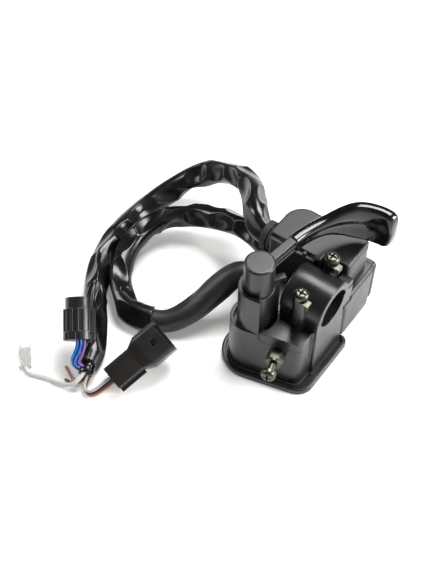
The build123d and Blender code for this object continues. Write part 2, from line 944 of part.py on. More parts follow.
def make_cable_drum():
    """Drum with the cable groove and the arm that meets the speed limiter at full throttle."""
    angle = radians(front_angle + lever_sweep)
    arm_plane = Plane(
        origin=(hub_x, hub_y, drum_bottom), x_dir=(cos(angle), sin(angle), 0), z_dir=(0, 0, 1)
    )
    with BuildPart() as drum:
        with Locations((hub_x, hub_y, drum_top)):
            Cylinder(drum_radius, drum_height, align=(Align.CENTER, Align.CENTER, Align.MAX))
        groove = Plane(
            origin=(hub_x, hub_y, drum_top - drum_height / 2), x_dir=(1, 0, 0), z_dir=(0, -1, 0)
        )
        with BuildSketch(groove):
            with Locations((drum_radius, 0)):
                Circle(drum_groove)
        revolve(axis=Axis((hub_x, hub_y, 0), (0, 0, 1)), mode=Mode.SUBTRACT)
        # flat on the side of the front wall, clear of it over the whole sweep
        flat_angle = front_angle - 90 + lever_sweep / 2
        flat_plane = Plane(
            origin=(hub_x, hub_y, drum_top),
            x_dir=(cos(radians(flat_angle)), sin(radians(flat_angle)), 0),
            z_dir=(0, 0, 1),
        )
        with Locations(flat_plane):
            with Locations((drum_flat, 0, 0)):
                Box(
                    drum_radius,
                    4 * drum_radius,
                    4 * drum_height,
                    align=(Align.MIN, Align.CENTER, Align.CENTER),
                    mode=Mode.SUBTRACT,
                )
        with Locations((hub_x, hub_y, drum_top)):
            Cylinder(drum_hub_radius, drum_height, align=(Align.CENTER, Align.CENTER, Align.MAX))
        with BuildSketch(arm_plane):
            with Locations((stop_arm_root, 0)):
                Rectangle(
                    stop_arm_reach - stop_arm_root,
                    2 * stop_arm_half,
                    align=(Align.MIN, Align.CENTER),
                )
        extrude(amount=drum_height)
        with BuildSketch(arm_plane):
            with Locations((drum_radius, 0)):
                Rectangle(
                    stop_arm_reach - drum_radius,
                    2 * stop_arm_half,
                    align=(Align.MIN, Align.CENTER),
                )
        extrude(amount=-limiter_drop + m4_radius / 2 - drum_bottom)
        with Locations((hub_x, hub_y, drum_top)):
            Cylinder(shaft_radius, 4 * drum_height, mode=Mode.SUBTRACT)
    return drum.part


def make_coil(centre, direction, radius, wire, pitch, turns):
    """Round-wire coil that starts at the centre point and winds along the direction."""
    with BuildPart() as coil:
        with BuildLine() as path:
            Helix(pitch, pitch * turns, radius, center=centre, direction=direction)
        with BuildSketch(Plane(origin=path.line @ 0, z_dir=path.line % 0)):
            Circle(wire)
        sweep()
    return coil.part


def make_return_spring():
    top = (hub_x, hub_y, drum_bottom - slip - spring_wire)
    return make_coil(top, (0, 0, -1), spring_radius, spring_wire, spring_pitch, spring_turns)


def make_drum_washer():
    with BuildPart() as washer:
        with Locations((hub_x, hub_y, drum_bottom)):
            Cylinder(
                drum_washer_radius,
                drum_washer_height,
                align=(Align.CENTER, Align.CENTER, Align.MAX),
            )
            Cylinder(drum_nut_bore, 4 * drum_washer_height, mode=Mode.SUBTRACT)
    return washer.part


def hexagon_nut(across, height, bore):
    """Hexagon nut standing on the XY plane."""
    with BuildPart() as nut:
        with BuildSketch():
            RegularPolygon(across / 2, 6, major_radius=False)
            Circle(bore, mode=Mode.SUBTRACT)
        extrude(amount=height)
        with BuildSketch(Plane.XZ):
            with BuildLine():
                corner = across / sqrt(3)
                slope = (corner - across / 2) * tan(radians(30))
                Polyline(
                    (across / 2, height),
                    (corner + running, height),
                    (corner + running, height - slope),
                    close=True,
                )
            make_face()
        revolve(axis=Axis.Z, mode=Mode.SUBTRACT)
    return nut.part


def placed(piece, place):
    """One solid moved to its place."""
    with BuildPart() as moved:
        with Locations(place):
            add(piece)
    return moved.part


def make_drum_nut():
    nut = hexagon_nut(drum_nut_across, drum_nut_height, drum_nut_bore)
    top = drum_bottom - drum_washer_height
    return placed(nut, Plane(origin=(hub_x, hub_y, top), z_dir=(0, 0, -1)))


def make_throttle_switch():
    """Sealed switch module on the roof of the case, with its plunger towards the drum."""
    low = cavity_top - throttle_switch_height
    with BuildPart() as module:
        with Locations((throttle_switch_x, throttle_switch_y, low)):
            Box(
                throttle_switch_length,
                throttle_switch_width,
                throttle_switch_height,
                align=(Align.CENTER, Align.CENTER, Align.MIN),
            )
        fillet(module.edges().filter_by(Axis.Z), edge_round)
        front = throttle_switch_y - throttle_switch_width / 2
        plunger = Plane(
            origin=(throttle_switch_x, front, low + throttle_switch_height / 2), z_dir=(0, -1, 0)
        )
        with Locations(plunger):
            Cylinder(
                m3_radius,
                throttle_switch_width / 3,
                align=(Align.CENTER, Align.CENTER, Align.MIN),
            )
        with Locations((throttle_switch_x, throttle_switch_y, low)):
            Cylinder(m3_radius + thread_slack, 4 * throttle_switch_height, mode=Mode.SUBTRACT)
    return module.part


def make_throttle_switch_screw():
    screw = pan_screw(m3_radius, throttle_switch_height + m3_bite, m3_head_radius, m3_head_height)
    low = cavity_top - throttle_switch_height
    place = Plane(origin=(throttle_switch_x, throttle_switch_y, low), z_dir=(0, 0, -1))
    return placed(screw, place)


def make_limiter_screw():
    screw = pan_screw(
        m4_radius, limiter_stem + limiter_inside, limiter_head_radius, limiter_head_height
    )
    return placed(screw, limiter_plane.offset(limiter_stem))


def make_limiter_locknut():
    """Hexagon nut against the wall, with a round flange on its outer side."""
    with BuildPart() as nut:
        add(hexagon_nut(limiter_nut_across, limiter_nut_height, m4_radius + running))
        with Locations((0, 0, limiter_nut_height - running)):
            Cylinder(
                limiter_flange_radius,
                limiter_flange_height,
                align=(Align.CENTER, Align.CENTER, Align.MIN),
            )
            Cylinder(m4_radius + running, 4 * limiter_flange_height, mode=Mode.SUBTRACT)
    return placed(nut.part, limiter_plane.offset(spot_face))


def box_outline(inset):
    """Outline of the upper shell, moved inwards by inset."""
    left = -box_left + inset
    front = box_front + inset
    notch_x = -box_notch_x - inset
    notch_y = box_notch_y + inset
    right = box_upper_right - inset
    back = box_upper_back - inset
    corners = [
        (left, front),
        (notch_x, front),
        (notch_x, notch_y),
        (right, notch_y),
        (right, back),
        (left, back),
    ]
    corner = max(box_corner_radius - inset, case_step_radius)
    radii = [corner, corner, case_step_radius, corner, corner, box_left_radius - inset]
    with BuildSketch() as outline:
        with BuildLine():
            FilletPolyline(*corners, radius=radii, close=True)
        make_face()
    return outline.sketch


def lower_limits(inset):
    """Rectangle of the lower shell in plan, moved inwards by inset."""
    width = box_lower_left + clamp_half - 2 * inset
    with Locations((-box_lower_left + inset, box_lower_front + inset)):
        Rectangle(
            width,
            box_lower_back - box_lower_front - inset,
            align=(Align.MIN, Align.MIN),
            mode=Mode.INTERSECT,
        )


def rounding_bar(x, z):
    """What the wide rounding along a right-hand top edge of the box takes away."""
    with BuildPart() as bar:
        with Locations((x, box_lower_front, z)):
            Box(
                2 * box_top_round,
                2 * box_lower_back,
                2 * box_top_round,
                align=(Align.CENTER, Align.MIN, Align.CENTER),
            )
        middle = (x - box_top_round, box_lower_front, z - box_top_round)
        with Locations(Plane(origin=middle, x_dir=(1, 0, 0), z_dir=(0, 1, 0))):
            Cylinder(
                box_top_round,
                2 * box_lower_back,
                align=(Align.CENTER, Align.CENTER, Align.MIN),
                mode=Mode.SUBTRACT,
            )
    return bar.part


def make_box_upper_shell():
    """Upper block of the switch box, with the ledge along its front edge."""
    joint = -box_joint_depth
    with BuildPart() as shell:
        with BuildSketch(Plane.XY.offset(joint)):
            add(box_outline(0))
        extrude(amount=box_upper_top - joint)
        top = shell.faces().sort_by(Axis.Z)[-1]
        fillet(top.edges(), edge_round)
        # ledge along the front
        with Locations((-box_left, box_front, box_upper_top)):
            Box(
                box_left - box_notch_x - box_corner_radius,
                2 * box_ledge_width,
                2 * box_ledge_drop,
                align=(Align.MIN, Align.CENTER, Align.CENTER),
                mode=Mode.SUBTRACT,
            )
        with Locations((-box_notch_x - 3 * box_corner_radius, box_front, box_upper_top)):
            Cylinder(
                box_ledge_drop / 2,
                box_ledge_drop + edge_round,
                align=(Align.CENTER, Align.MIN, Align.MAX),
            )
        with BuildSketch(Plane.XY.offset(joint)):
            add(box_outline(box_wall))
            with Locations((-clamp_half - slip - box_wall, box_front)):
                Rectangle(
                    clamp_length,
                    clamp_half_width + slip + box_wall - box_front,
                    align=(Align.MIN, Align.MIN),
                    mode=Mode.SUBTRACT,
                )
        extrude(amount=box_upper_top - box_wall - joint, mode=Mode.SUBTRACT)
        with Locations(*[(x, y, joint) for x, y in box_post_places]):
            Cylinder(
                box_post_radius,
                box_upper_top - box_wall / 2 - joint,
                align=(Align.CENTER, Align.CENTER, Align.MIN),
            )
            Cylinder(m4_radius + thread_slack, 2 * box_screw_bite, mode=Mode.SUBTRACT)
        # relief round the clamp cap
        with Locations(Plane.YZ.offset(-clamp_half - slip)):
            Cylinder(
                clamp_half_width + slip,
                clamp_length,
                align=(Align.CENTER, Align.CENTER, Align.MIN),
                mode=Mode.SUBTRACT,
            )
        with Locations(Plane(origin=tuple(main_exit), z_dir=(1, 0, 0))):
            Cylinder(main_radius - grommet_step, 4 * box_wall, mode=Mode.SUBTRACT)
        add(rounding_bar(box_upper_right, box_upper_top), mode=Mode.SUBTRACT)
    return shell.part


def make_box_lower_shell():
    """Lower block of the switch box, open at the back for the switch panel."""
    joint = -box_joint_depth
    floor = -box_bottom
    notch_floor = seat_base - slip
    length = box_lower_left + clamp_half
    depth = box_lower_back - box_lower_front
    with BuildPart() as shell:
        with Locations((-box_lower_left, box_lower_front, floor)):
            Box(length, depth, joint - floor, align=(Align.MIN, Align.MIN, Align.MIN))
        sides = shell.edges().filter_by(Axis.Z).group_by(Axis.X)
        fillet(sides[0], box_corner_radius)
        fillet(sides[-1], box_corner_radius)
        with Locations((-box_lower_left, box_lower_front, floor)):
            with Locations((box_wall, box_wall, box_wall)):
                Box(
                    length - 2 * box_wall,
                    depth,
                    joint - floor - 2 * box_wall,
                    align=(Align.MIN, Align.MIN, Align.MIN),
                    mode=Mode.SUBTRACT,
                )
        # opening into the upper shell
        with BuildSketch(Plane.XY.offset(joint)):
            add(box_outline(box_wall))
            lower_limits(box_wall)
        extrude(amount=-2 * box_wall, mode=Mode.SUBTRACT)
        # walls round the notch for the bar seat
        notch_left = -clamp_boss_radius - slip
        with Locations((notch_left - box_wall, box_lower_front, joint)):
            Box(
                clamp_half - notch_left + box_wall - running,
                box_notch_y + box_wall - box_lower_front,
                joint - notch_floor + box_wall,
                align=(Align.MIN, Align.MIN, Align.MAX),
            )
        with Locations((notch_left, 0, notch_floor)):
            Box(
                2 * clamp_length,
                box_notch_y,
                box_bottom,
                align=(Align.MIN, Align.MIN, Align.MIN),
                mode=Mode.SUBTRACT,
            )
        # posts of the long screws and blocks for the panel screws
        with Locations(*[(x, y, floor) for x, y in box_post_places]):
            Cylinder(box_post_radius, joint - floor, align=(Align.CENTER, Align.CENTER, Align.MIN))
            Cylinder(m4_radius + slip, 4 * box_bottom, mode=Mode.SUBTRACT)
            Cylinder(m4_head_radius + slip, 2 * box_head_recess, mode=Mode.SUBTRACT)
        with Locations(*[(x, box_lower_back, z) for x, z in panel_screw_places]):
            Box(
                panel_block,
                panel_block_depth,
                panel_block,
                align=(Align.CENTER, Align.MAX, Align.CENTER),
            )
        with Locations(*panel_screw_planes(box_lower_back)):
            Cylinder(m3_radius + thread_slack, 2 * m3_length, mode=Mode.SUBTRACT)
        with Locations(*box_mount_planes):
            Cylinder(m4_radius + slip, 4 * box_wall, mode=Mode.SUBTRACT)
        with Locations(Plane(origin=tuple(link_exit), z_dir=(1, 0, 0))):
            Cylinder(link_radius - grommet_step, 4 * box_wall, mode=Mode.SUBTRACT)
        add(rounding_bar(clamp_half, joint), mode=Mode.SUBTRACT)
    return shell.part


def panel_screw_planes(y):
    """Places of the panel screws on the plane at the given y, pointing outwards."""
    return [Plane(origin=(x, y, z), x_dir=(1, 0, 0), z_dir=(0, 1, 0)) for x, z in panel_screw_places]


def make_box_screws():
    length = box_bottom - box_head_recess - box_joint_depth + box_screw_bite
    screw = pan_screw(m4_radius, length, m4_head_radius, m4_head_height)
    low = -box_bottom + box_head_recess
    places = [Location(Plane(origin=(x, y, low), z_dir=(0, 0, -1))) for x, y in box_post_places]
    return repeated(screw, places)


def make_box_mount_screws():
    inner = box_lower_front + box_wall
    length = inner - case_back + box_mount_bite
    screw = pan_screw(m4_radius, length, m4_head_radius, m4_head_height)
    places = [
        Location(Plane(origin=(x, inner, -box_mount_drop), z_dir=(0, 1, 0))) for x in box_mount_xs
    ]
    return repeated(screw, places)


def make_switch_panel():
    """Rear plate with the selector slot and the button hole."""
    left = -box_lower_left + panel_inset
    right = clamp_half - panel_inset
    low = -box_bottom + panel_inset
    high = -box_joint_depth - panel_inset
    centre = ((left + right) / 2, box_lower_back, (low + high) / 2)
    with BuildPart() as panel:
        with BuildSketch(Plane(origin=centre, x_dir=(1, 0, 0), z_dir=(0, 1, 0))):
            RectangleRounded(right - left, high - low, box_corner_radius)
        extrude(amount=panel_thickness)
        fillet(panel.faces().sort_by(Axis.Y)[-1].edges(), edge_round)
        with Locations((selector_x, panel_back, -switch_row_drop)):
            Box(
                selector_stem + selector_travel + 2 * slip,
                4 * panel_thickness,
                selector_stem + 2 * slip,
                mode=Mode.SUBTRACT,
            )
        with Locations(Plane(origin=(button_x, panel_back, -switch_row_drop), z_dir=(0, 1, 0))):
            Cylinder(ring_sleeve_radius, 4 * panel_thickness, mode=Mode.SUBTRACT)
        with Locations(*panel_screw_planes(panel_back)):
            Cylinder(m3_radius + slip, 4 * panel_thickness, mode=Mode.SUBTRACT)
    return panel.part


def make_panel_screws():
    screw = pan_screw(m3_radius, m3_length, m3_head_radius, m3_head_height)
    return repeated(screw, [Location(plane) for plane in panel_screw_planes(panel_back)])


def make_selector_knob():
    """Slider with a ridged thumb piece outside and a square stem through the slot."""
    with BuildPart() as knob:
        with Locations((selector_x, panel_back + slip, -switch_row_drop)):
            Box(
                selector_width,
                selector_proud,
                selector_height,
                align=(Align.CENTER, Align.MIN, Align.CENTER),
            )
        fillet(knob.faces().sort_by(Axis.Y)[-1].edges(), edge_round)
        with Locations((selector_x, panel_back + slip + selector_proud, -switch_row_drop)):
            with GridLocations(selector_width / 3, selector_width, 3, 1):
                Box(
                    selector_width / 8,
                    edge_round,
                    selector_height,
                    mode=Mode.SUBTRACT,
                )
        with Locations((selector_x, panel_back + slip, -switch_row_drop)):
            Box(
                selector_stem,
                panel_thickness + 2 * slip + carrier_depth / 2,
                selector_stem,
                align=(Align.CENTER, Align.MAX, Align.CENTER),
            )
    return knob.part


def make_selector_contact():
    """Contact carrier behind the panel, with the pocket of the detent."""
    with BuildPart() as carrier:
        with Locations((selector_x, carrier_back, -switch_row_drop)):
            Box(
                carrier_width,
                carrier_depth,
                carrier_height,
                align=(Align.CENTER, Align.MAX, Align.CENTER),
            )
        with Locations((selector_x, carrier_back, -switch_row_drop)):
            Box(
                selector_stem,
                carrier_depth,
                selector_stem,
                mode=Mode.SUBTRACT,
            )
        with Locations(Plane(origin=detent_mouth, z_dir=(0, 1, 0))):
            Cylinder(
                ball_radius + running,
                carrier_depth - edge_round,
                align=(Align.CENTER, Align.CENTER, Align.MAX),
                mode=Mode.SUBTRACT,
            )
    return carrier.part


def make_detent_ball():
    with BuildPart() as ball:
        with Locations((detent_mouth[0], carrier_back + slip / 2 - ball_radius, detent_mouth[2])):
            Sphere(ball_radius)
    return ball.part


def make_detent_spring():
    start = carrier_back - carrier_depth + edge_round + detent_spring_wire + running
    end = carrier_back + slip / 2 - 2 * ball_radius - detent_spring_wire - running
    centre = (detent_mouth[0], start, detent_mouth[2])
    radius = ball_radius - detent_spring_wire - slip / 2
    pitch = (end - start) / detent_spring_turns
    return make_coil(centre, (0, 1, 0), radius, detent_spring_wire, pitch, detent_spring_turns)


def make_push_button():
    """Round button with a collar behind the panel."""
    axis_plane = Plane(origin=(button_x, carrier_back, -switch_row_drop), z_dir=(0, 1, 0))
    reach = panel_back + button_ring_proud + button_proud - carrier_back
    with BuildPart() as button:
        with Locations(axis_plane):
            Cylinder(button_radius, reach, align=(Align.CENTER, Align.CENTER, Align.MIN))
        fillet(button.faces().sort_by(Axis.Y)[-1].edges(), edge_round)
        with Locations(axis_plane):
            Cylinder(
                button_collar_radius,
                button_collar,
                align=(Align.CENTER, Align.CENTER, Align.MAX),
            )
    return button.part


def make_button_boot_ring():
    """Ring round the button: a flange on the panel and a sleeve through it."""
    with BuildPart() as ring:
        with Locations(Plane(origin=(button_x, panel_back, -switch_row_drop), z_dir=(0, 1, 0))):
            Cylinder(
                button_ring_radius,
                button_ring_proud,
                align=(Align.CENTER, Align.CENTER, Align.MIN),
            )
        fillet(ring.faces().sort_by(Axis.Y)[-1].edges(), edge_round)
        with Locations(Plane(origin=(button_x, panel_back, -switch_row_drop), z_dir=(0, 1, 0))):
            Cylinder(
                ring_sleeve_radius,
                panel_thickness,
                align=(Align.CENTER, Align.CENTER, Align.MAX),
            )
            Cylinder(button_radius + slip, 4 * panel_thickness, mode=Mode.SUBTRACT)
    return ring.part


def make_button_contact():
    """Contact ring behind the button's collar."""
    top = carrier_back - button_collar
    bottom = contact_top + button_travel + slip
    with BuildPart() as contact:
        with Locations(Plane(origin=(button_x, bottom, -switch_row_drop), z_dir=(0, 1, 0))):
            Cylinder(
                button_radius,
                top - bottom,
                align=(Align.CENTER, Align.CENTER, Align.MIN),
            )
            Cylinder(
                button_spring_radius + button_spring_wire + slip,
                4 * button_travel,
                mode=Mode.SUBTRACT,
            )
    return contact.part


def make_button_spring():
    start = base_top + button_spring_wire + running
    end = carrier_back - button_collar - button_spring_wire - running
    pitch = (end - start) / button_spring_turns
    centre = (button_x, start, -switch_row_drop)
    return make_coil(
        centre, (0, 1, 0), button_spring_radius, button_spring_wire, pitch, button_spring_turns
    )


def make_switch_base():
    """Insulating plate that fits inside the walls of the lower shell."""
    left = -box_lower_left + box_wall + slip
    right = clamp_half - box_wall - slip
    low = -box_bottom + box_wall + slip
    high = -box_joint_depth - 2 * box_wall
    with BuildPart() as base:
        with Locations((left, base_top, low)):
            Box(
                right - left,
                switch_base_thickness,
                high - low,
                align=(Align.MIN, Align.MAX, Align.MIN),
            )
    return base.part


def make_base_contacts():
    """Fixed contacts on the base: three strips for the selector and two pads for the button."""
    row = -switch_row_drop
    pad_reach = button_spring_radius + 2 * button_spring_wire + slip
    with BuildPart() as contacts:
        for step in (-1, 0, 1):
            with Locations((selector_x + step * selector_travel / 2, base_top, row)):
                Box(
                    selector_travel / 3,
                    contact_thickness,
                    carrier_height,
                    align=(Align.CENTER, Align.MIN, Align.CENTER),
                )
        for side in (-1, 1):
            with Locations((button_x, base_top, row + side * (pad_reach + button_radius) / 2)):
                Box(
                    selector_travel / 3,
                    contact_thickness,
                    button_radius - pad_reach,
                    align=(Align.CENTER, Align.MIN, Align.CENTER),
                )
    return contacts.part


def make_grommet(exit_point, tube_radius, wall):
    """Rubber grommet in a left-hand wall: outer flange, neck in the wall and inner lip."""
    neck = tube_radius - grommet_step
    outside = Plane(origin=tuple(exit_point), z_dir=(-1, 0, 0))
    with BuildPart() as grommet:
        with Locations(outside):
            Cylinder(
                tube_radius + grommet_step,
                grommet_flange,
                align=(Align.CENTER, Align.CENTER, Align.MIN),
            )
        fillet(grommet.faces().sort_by(Axis.X)[0].edges(), edge_round / 2)
        with Locations(outside):
            Cylinder(neck, wall, align=(Align.CENTER, Align.CENTER, Align.MAX))
        with Locations(outside.offset(-wall)):
            Cylinder(
                neck + edge_round,
                edge_round,
                align=(Align.CENTER, Align.CENTER, Align.MAX),
            )
    return grommet.part


# Routes of the cords, from the object outwards
main_route = [
    (-box_left - grommet_flange, main_exit.Y, main_exit.Z),
    (-48.4, main_exit.Y, main_exit.Z),
    (-55.6, 26.8, 2.6),
    (-64.5, 38.0, 2.4),
    (-80.5, 53.0, -7.0),
    (-100.4, 59.4, -18.0),
    (-113.6, 55.0, -27.0),
    (-122.5, 46.0, -33.5),
    (-129.8, 33.0, -38.4),
    (-133.0, 15.5, -40.2),
    (-132.2, -4.5, -40.2),
    (-128.0, -22.0, -40.2),
    (-120.6, -36.4, -40.2),
    (-111.4, -48.2, -40.2),
    (-102.4, -58.6, -40.2),
    (-95.6, -67.5, -40.2),
    (-90.1, -75.6, -40.2),
    (-86.5, -83.4, -40.2),
]
link_route = [
    (-box_lower_left - grommet_flange, link_exit.Y, link_exit.Z),
    (-46.4, link_exit.Y, link_exit.Z),
    (-54.8, 27.6, -16.4),
    (-66.0, 30.4, -17.9),
    (-79.0, 32.4, -23.6),
    (-92.0, 31.8, -28.4),
    (-103.2, 28.0, -31.2),
    (-112.2, 20.6, -32.6),
    (-117.8, 9.4, -33.8),
    (-119.2, -4.7, -35.2),
    (-116.4, -17.4, -37.2),
    (-110.8, -28.0, -39.2),
    (-103.4, -36.0, -40.4),
    (-94.5, -41.4, -40.4),
    (-85.0, -42.6, -40.4),
    (-77.4, -39.4, -40.4),
]
lead_route = [
    (-77.4, -39.4, -40.4),
    (-70.76, -36.6, -40.4),
    (-65.0, -29.8, -38.2),
    (-60.0, -20.8, -34.2),
    (-56.4, -13.4, -30.4),
    (-53.2, -6.4, -27.0),
    (-49.6, 0.2, -24.2),
    (-45.0, lead_exit.Y, lead_exit.Z),
    (-case_left - grommet_flange, lead_exit.Y, lead_exit.Z),
]
tape_route = [(-86.5, -83.4, -40.2), (-85.243, -86.124, -40.2), (-84.1, -88.6, -40.5)]
blue_route = [
    (-85.6, -86.4, -40.2),
    (-89.0, -87.8, -39.0),
    (-91.6, -88.6, -35.4),
    (-91.6, -86.8, -31.0),
    (-91.067, -83.33, -27.6),
    (-93.2, -80.6, -25.6),
]
plug_route = [
    (-82.7, -88.0, -42.0),
    (-81.4, -92.2, -42.8),
    (-78.8, -95.4, -43.4),
    (-75.2, -95.6, -43.0),
    (-72.6, -92.2, -42.0),
    (-70.92, -86.754, -40.337),
    (-69.7, -83.0, -38.9),
]
pink_route = [
    (-84.65, -88.6, -43.7),
    (-84.2, -91.6, -44.8),
    (-87.6, -93.6, -45.6),
    (-93.2, -92.0, -45.6),
    (-98.6, -89.0, -45.6),
]
dark_route = [
    (-84.9, -88.8, -41.6),
    (-84.2, -92.4, -42.6),
    (-87.6, -95.6, -44.4),
    (-93.2, -95.4, -45.6),
]
sense_route = [
    (-84.7, -88.6, -38.9),
    (-84.0, -93.4, -39.6),
    (-87.2, -98.0, -42.6),
    (-94.0, -99.6, -45.1),
    (-101.6, -100.8, -45.1),
    (-107.8, -103.2, -45.1),
    (-112.2, -104.8, -45.1),
    (-115.4, -102.8, -44.8),
]


def bend_radii(route):
    """Radius at each corner of a route: as large an arc as its two runs allow."""
    points = [Vector(*point) for point in route]
    radii = []
    for before, corner, after in zip(points, points[1:], points[2:]):
        first = corner - before
        second = after - corner
        turn = radians(first.get_angle(second))
        radii.append(arc_share * min(first.length, second.length) / tan(turn / 2))
    return radii


def make_tube(name, routes, radius):
    """Round tubes along their routes, with the radii and lengths printed."""
    expected = 0
    with BuildPart() as tubes:
        for route in routes:
            radii = bend_radii(route)
            with BuildLine() as path:
                FilletPolyline(*route, radius=radii)
            wire = path.wire()
            with BuildSketch(Plane(origin=wire @ 0, z_dir=wire % 0)):
                Circle(radius)
            sweep(path=wire)
            print(name, "length", round(wire.length, 1), "least radius", round(min(radii), 1))
            expected += pi * radius**2 * wire.length
    print(name, "volume", round(tubes.part.volume, 1), "by section and length", round(expected, 1))
    return tubes.part


def beside(route, side, up):
    """A route moved sideways and up in a frame that follows the route without twist."""
    points = [Vector(*point) for point in route]
    across = (points[1] - points[0]).cross(Vector(0, 0, 1))
    last = len(points) - 1
    moved = []
    for index, point in enumerate(points):
        ahead = (points[min(index + 1, last)] - points[max(index - 1, 0)]).normalized()
        across = (across - ahead * across.dot(ahead)).normalized()
        over = across.cross(ahead)
        moved.append(tuple(point + across * side + over * up))
    return moved


wire_pitch = 2.3 * wire_radius
blue_places = [(-wire_pitch / 2, -wire_pitch / 2), (wire_pitch / 2, -wire_pitch / 2)]
blue_places += [(-wire_pitch / 2, wire_pitch / 2), (wire_pitch / 2, wire_pitch / 2)]


def make_blue_wires():
    routes = [beside(blue_route, side, up) for side, up in blue_places]
    return make_tube("blue_wires", routes, wire_radius)


def make_violet_wire():
    return make_tube("violet_wire", [beside(blue_route, 0, 1.5 * wire_pitch)], wire_radius)


def make_plug_wires():
    routes = [beside(plug_route, 0, step * wire_pitch) for step in (-1, 0, 1)]
    return make_tube("plug_wires", routes, wire_radius)


def make_sleeve_tie():
    """Flat tie round both sleeves where they leave the switch box."""
    across = Vector(0, main_exit.Y - link_exit.Y, main_exit.Z - link_exit.Z)
    middle = (main_exit + link_exit) / 2
    plane = Plane(origin=(-tie_x, middle.Y, middle.Z), x_dir=tuple(across), z_dir=(-1, 0, 0))
    inner = main_radius + slip
    outer = inner + tie_thickness
    with BuildPart() as tie:
        with BuildSketch(plane):
            SlotCenterToCenter(across.length, 2 * outer)
            SlotCenterToCenter(across.length, 2 * inner, mode=Mode.SUBTRACT)
            # lock on the side towards the viewer
            with Locations((0, -inner - tie_thickness / 2)):
                Rectangle(tie_width, 2 * tie_thickness, align=(Align.CENTER, Align.MAX))
        extrude(amount=tie_width)
        # tail
        with BuildSketch(plane.offset(tie_width / 4)):
            with Locations((0, -outer)):
                Rectangle(tie_thickness, 5 * tie_thickness, align=(Align.CENTER, Align.MAX))
        extrude(amount=tie_width / 2)
    return tie.part


# Round connector, lying against the main sleeve
round_axis = direction(-round_heading, round_tilt)
round_side = round_axis.cross(Vector(0, 0, 1)).normalized()
round_plane = Plane(origin=blue_route[-1], x_dir=tuple(round_side), z_dir=tuple(round_axis))
round_length = round_collar_length + round_body_length + round_neck_length
round_ribs = 16


def make_round_connector():
    """Slotted collar, ribbed body and plain neck with the mouth at its end."""
    neck_plane = round_plane.offset(round_length)
    body_start = round_plane.offset(round_collar_length)
    with BuildPart() as connector:
        with BuildSketch(round_plane):
            Circle(round_radius)
        extrude(amount=round_collar_length)
        with BuildSketch(body_start):
            Circle(round_radius - rib_height)
            with PolarLocations(round_radius - rib_height, round_ribs):
                Rectangle(2 * rib_height, 2 * rib_height)
        extrude(amount=round_body_length)
        with BuildSketch(neck_plane):
            Circle(round_neck_radius)
        extrude(amount=-round_neck_length)
        with BuildSketch(round_plane):
            with PolarLocations(round_radius, round_ribs // 2):
                Rectangle(2 * rib_height, 3 * rib_height)
        extrude(amount=round_collar_length - rib_height, mode=Mode.SUBTRACT)
        with BuildSketch(round_plane):
            Circle(round_neck_radius - round_wall)
        extrude(amount=round_length, mode=Mode.SUBTRACT)
    return connector.part


def make_round_insert():
    """Terminal carrier inside the round connector, with its pins in the mouth."""
    bore = round_neck_radius - round_wall
    end = round_plane.offset(round_length - round_mouth_depth)
    with BuildPart() as insert:
        with BuildSketch(round_plane):
            Circle(bore)
        extrude(amount=round_length - round_mouth_depth)
        with BuildSketch(end):
            with PolarLocations(bore / 2, 5):
                Circle(pin_radius)
        extrude(amount=round_mouth_depth - round_wall)
    return insert.part


# Square connector, with its mouth end raised and its left side up
square_axis = direction(square_heading, square_tilt)
square_flat = Vector(-cos(radians(square_heading)), sin(radians(square_heading)), 0)
square_left = square_flat * cos(radians(square_roll)) + square_axis.cross(square_flat) * sin(
    radians(square_roll)
)
square_origin = Vector(-69.7, -83.0, -38.9)
square_plane = Plane(origin=square_origin, x_dir=tuple(square_left), z_dir=tuple(square_axis))
square_total = square_length + shoulder_length + collar_length


def make_square_connector():
    """Narrow wire end, sloping shoulder and wide collar with a lock window and a side rail."""
    collar_start = square_plane.offset(square_length + shoulder_length)
    mouth = square_plane.offset(square_total)
    with BuildPart() as connector:
        with BuildSketch(square_plane):
            RectangleRounded(square_width, square_height, edge_round)
        extrude(amount=square_length)
        with BuildSketch(square_plane.offset(square_length)):
            RectangleRounded(square_width, square_height, edge_round)
        with BuildSketch(collar_start):
            RectangleRounded(collar_width, collar_height, collar_round)
        loft()
        with BuildSketch(collar_start):
            RectangleRounded(collar_width, collar_height, collar_round)
        extrude(amount=collar_length)
        # hollow for the mating half
        with BuildSketch(mouth):
            RectangleRounded(
                collar_width - 2 * collar_wall,
                collar_height - 2 * collar_wall,
                collar_round - collar_wall,
            )
        extrude(amount=-collar_depth, mode=Mode.SUBTRACT)
        # bore of the insert
        with BuildSketch(square_plane):
            Rectangle(square_width - 2 * collar_wall, square_height - 2 * collar_wall)
        extrude(amount=square_total, mode=Mode.SUBTRACT)
        # the top wall stands back at the mouth, and has the lock window behind
        with BuildSketch(mouth):
            with Locations((0, collar_height / 2)):
                Rectangle(collar_width - 2 * collar_round, 2 * collar_wall)
        extrude(amount=-collar_wall, mode=Mode.SUBTRACT)
        with BuildSketch(square_plane.offset(square_total - collar_length / 2)):
            with Locations((0, collar_height / 2)):
                Rectangle(2 * collar_wall, 2 * collar_wall)
        extrude(amount=collar_wall, both=True, mode=Mode.SUBTRACT)
        # rail along the lower right edge of the wire end
        with BuildSketch(square_plane):
            with Locations((-square_width / 2, collar_wall - square_height / 2)):
                Rectangle(2 * collar_wall, collar_wall, align=(Align.CENTER, Align.MIN))
        extrude(amount=square_length)
    return connector.part


def make_square_insert():
    """Terminal carrier with three blades in the mouth."""
    inner_width = square_width - 2 * collar_wall
    inner_height = square_height - 2 * collar_wall
    depth = square_total - collar_depth
    with BuildPart() as insert:
        with BuildSketch(square_plane):
            Rectangle(inner_width, inner_height)
        extrude(amount=depth)
        with BuildSketch(square_plane.offset(depth)):
            with GridLocations(inner_width / 3, 0, 3, 1):
                Rectangle(pin_radius, 3 * pin_radius)
        extrude(amount=collar_depth * blade_share)
    return insert.part


cover_axis = direction(-cover_heading, 0)


